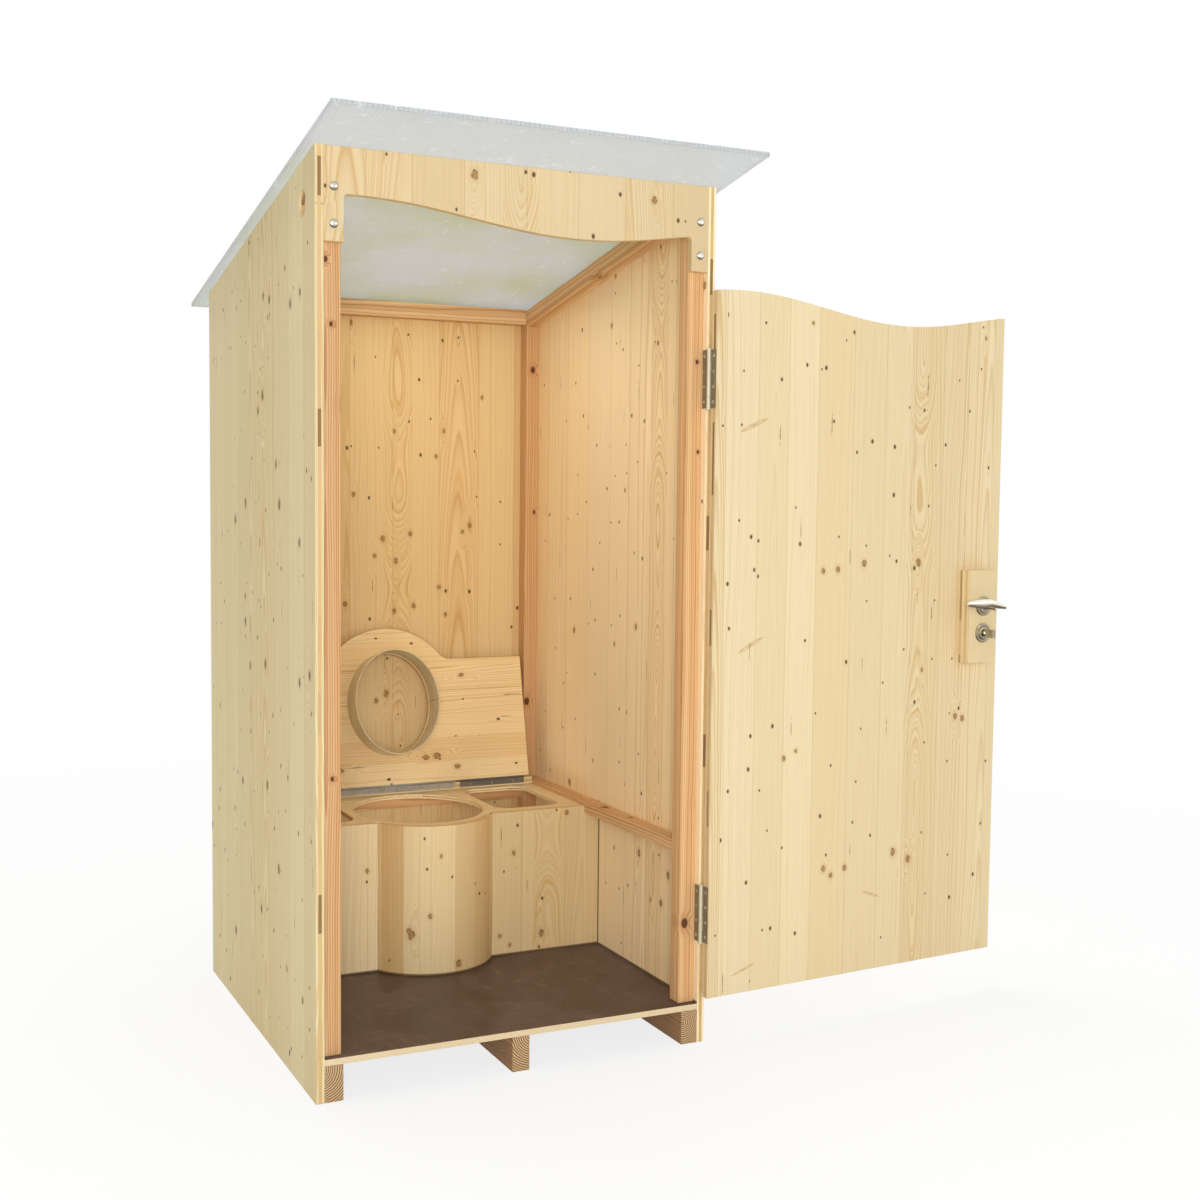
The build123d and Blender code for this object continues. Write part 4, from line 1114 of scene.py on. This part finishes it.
mesh = bmesh.new()
for _, face, outward in SIDES:
    middle = Vector((LOCK_X, face + outward * GRIP_OFF, LEVER_HEIGHT))
    lofted(mesh, [ring_at(middle + (X * along + Z * up) * MM, X, out, tall)
                  for along, up, tall, out in GRIP], 32, belly)
    turned_piece(mesh, (LOCK_X, face, LEVER_HEIGHT), (0, outward, 0), NECK)
turned_piece(mesh, (LOCK_X, OUTER_FACE - 0.007, LEVER_HEIGHT), Y, ((0, 6), (74, 6)))
finished(mesh, "lever_handle_shaped", "lever", NICKEL, ("lever_handle",), WITH_DOOR)
print("lever grip", GRIP[-1][0] - GRIP[0][0], "mm long")

# %% [markdown]
# Under each grip is a round rose, turned with a step and a raised rim, and under the lock's turn
# another with a smaller middle. Outside, the turn's rose holds only a plain disc, flush with it.

# %% Roses
# pairs of height and radius, in mm
HANDLE_ROSE = ((0, 26), (3.8, 26), (5, 25.2), (5.6, 23.6), (5.6, 20.4), (5.2, 19.6), (5.4, 18.8),
               (7.6, 18.2), (8, 17.2), (8, 9.6), (7, 9.3))
TURN_ROSE = ((0, 26), (3.4, 26), (4.6, 25.2), (5, 24), (5, 19.4), (4.6, 18.6), (5, 17.8), (7.4, 17),
             (8, 15.8), (8, 8.6), (7, 8.3))
PLAIN_DISC = ((6, 7.8), (8, 7.8), (8.6, 7), (8.6, 1.2), (6, 1))
for kind, profile, height in (("handle", HANDLE_ROSE, LEVER_HEIGHT), ("turn", TURN_ROSE, TURN_HEIGHT)):
    for label, face, outward in SIDES:
        rose = f"{label}_{kind}_rose"
        mesh = bmesh.new()
        turned_piece(mesh, (LOCK_X, face, height), (0, outward, 0), profile, 64)
        if rose == "outer_turn_rose":
            turned_piece(mesh, (LOCK_X, face, height), (0, outward, 0), PLAIN_DISC, 32)
        finished(mesh, rose + "_stepped", "door", TURN, (rose,), WITH_DOOR)
print("roses", 2 * HANDLE_ROSE[0][1], "mm across")

# %% [markdown]
# The thumb turn is a flat bar on a turned foot, with ribs down both sides for a wet hand. The
# bar starts as a cube. Its sides are cut into strips across the door, and each strip is inset and
# raised a little.

# %% Thumb turn
STEM = ((0, 6), (73, 6))
FOOT = ((0, 7.8), (4, 7.8), (6, 9.8), (9.2, 9.8), (10.5, 8.5), (12, 7))
BAR = Vector((9.6, 28, 21.8)) * MM
BAR_MIDDLE = Vector((LOCK_X, INNER_FACE + 29.5 * MM, TURN_HEIGHT))
RIB_CUTS, RIB_EDGE, RIB_RISE = 6, 0.5 * MM, 0.6 * MM

mesh = bmesh.new()
turned_piece(mesh, (LOCK_X, OUTER_FACE - 6 * MM, TURN_HEIGHT), Y, STEM)
turned_piece(mesh, (LOCK_X, INNER_FACE + 6 * MM, TURN_HEIGHT), Y, FOOT)
bar_place = Matrix.Translation(BAR_MIDDLE) @ Matrix.Diagonal((*BAR, 1))
bar = bmesh.ops.create_cube(mesh, size=1, matrix=bar_place)["verts"]
sides = [face for face in mesh.faces if all(vert in bar for vert in face.verts)
         and abs(face.calc_center_median().x - LOCK_X) > 4 * MM]
long_edges = [edge for face in sides for edge in face.edges
              if abs(edge.verts[0].co.y - edge.verts[1].co.y) > 10 * MM]
bmesh.ops.subdivide_edges(mesh, edges=long_edges, cuts=RIB_CUTS, use_grid_fill=True)
ribs = [face for face in mesh.faces if abs(face.calc_center_median().x - LOCK_X) > 4.5 * MM
        and face.calc_center_median().y > INNER_FACE + 16 * MM
        and len(face.verts) == 4 and abs(face.normal.x) > 0.9]
bmesh.ops.inset_individual(mesh, faces=ribs, thickness=RIB_EDGE, depth=RIB_RISE)
finished(mesh, "thumb_turn_ribbed", "thumb_turn_knob", TURN, ("thumb_turn",), WITH_DOOR)
print("thumb turn ribs:", len(ribs))

# %% [markdown]
# The studio is a white floor that keeps the cabin's shadow, and a white world. To the eye both
# are plain white, so they meet without a line, but as light they are dimmer: near the cabin the
# floor keeps some of its shade, and the world gives less light than it shows.

# %% Floor and world
FLOOR_WHITE = "EFEFED"
SHADE_ENDS = (1.2, 4.5)                   # distances over which the floor's shade fades out
WORLD_LIGHT = 0.46


def seen_by_eye(tree):
    """1 for a ray from the eye: straight, off a shiny face or through a clear one."""
    path = add(tree, "LightPath").outputs
    seen = add(tree, "Math", [path["Is Camera Ray"], path["Is Glossy Ray"]], "MAXIMUM")
    return add(tree, "Math", [seen, path["Is Transmission Ray"]], "MAXIMUM")


bpy.ops.mesh.primitive_plane_add(size=60, location=(0, 0, 0))
floor = bpy.context.object
floor.name = "studio_floor"
material, tree = new_material("white_studio_floor")
away = add(tree, "VectorMath", [add(tree, "TexCoord").outputs["Object"]], "LENGTH").outputs["Value"]
far = add(tree, "MapRange", {"Value": away, "From Min": SHADE_ENDS[0], "From Max": SHADE_ENDS[1],
                             "To Min": 0.80, "To Max": 1.0})
blend = add(tree, "Math", [seen_by_eye(tree), far], "MULTIPLY")
plain = add(tree, "BsdfDiffuse", {"Color": FLOOR_WHITE})
glow = add(tree, "Emission", {"Color": "FFFFFF", "Strength": 1.0})
finish_material(tree, add(tree, "MixShader", [blend, plain, glow]))
floor.data.materials.append(material)

scene.world = bpy.data.worlds.new("white_room")
scene.world.use_nodes = True
tree = scene.world.node_tree
tree.nodes.clear()
strength = add(tree, "MapRange", {"Value": seen_by_eye(tree), "To Min": WORLD_LIGHT, "To Max": 1.0})
add(tree, "OutputWorld", {"Surface": add(tree, "Background", {"Color": "FFFFFF", "Strength": strength})})
print("white room, giving", WORLD_LIGHT, "of its light")

# %% [markdown]
# The lamps are soft. The main one is large and stands behind the camera and to its left, and a
# small one beside the camera lights the back of the cabin through the doorway. Two fills keep the
# sides from going grey. A lamp over the roof shines through the sheet, and a warm one hangs under
# it. Two weak ones stand for light that bounces many times: one in the seat box, and one between
# the raised lid and the wall, turned to the wall and so soft that the lowered lid shows no patch.

# %% Lamps
# place, target, size, watts and tone
LAMPS = {
    "main": ((-2.65, -7.3, 1.95), (0.1, 0.2, 1.0), 2.2, 222, (1.0, 0.99, 0.97)),
    "beside_the_camera": ((-1.50, -3.95, 1.50), (0.0, 0.3, 0.9), 0.4, 16, (1, 1, 1)),
    "right_fill": ((3.0, -4.6, 2.2), (0.3, 0, 1.0), 2.5, 24, (1, 1, 1)),
    "left_fill": ((-5.5, -2.5, 2.2), (-0.5, 0, 1.0), 2.5, 24, (1, 1, 1)),
    "over_roof": ((0.0, 0.1, 4.6), (0, 0, 1.0), 2.4, 170, (1.0, 0.98, 0.94)),
    "under_roof": ((-0.06, 0.0, 1.90), (-0.02, 0.05, 0), 0.6, 1.6, (1.0, 0.92, 0.78)),
    "in_the_box": ((-0.02, 0.16, 0.20), (0.1, 0.5, 0.40), 0.2, 0.68, (1.0, 0.95, 0.87)),
    "behind_the_lid": ((0.035, 0.46, 0.65), (0.035, 0.522, 0.65), 0.26, 0.032, (1.0, 0.96, 0.88)),
}
for name, (place, target, size, power, tone) in LAMPS.items():
    data = bpy.data.lights.new(name, "AREA")
    data.energy = power
    data.size = size
    data.color = tone
    lamp = bpy.data.objects.new(name, data)
    scene.collection.objects.link(lamp)
    lamp.location = place
    lamp.visible_camera = False
    lamp.rotation_euler = (Vector(target) - Vector(place)).to_track_quat("-Z", "Y").to_euler()
scene.view_settings.view_transform = "Standard"
print("lamps:", len(LAMPS))
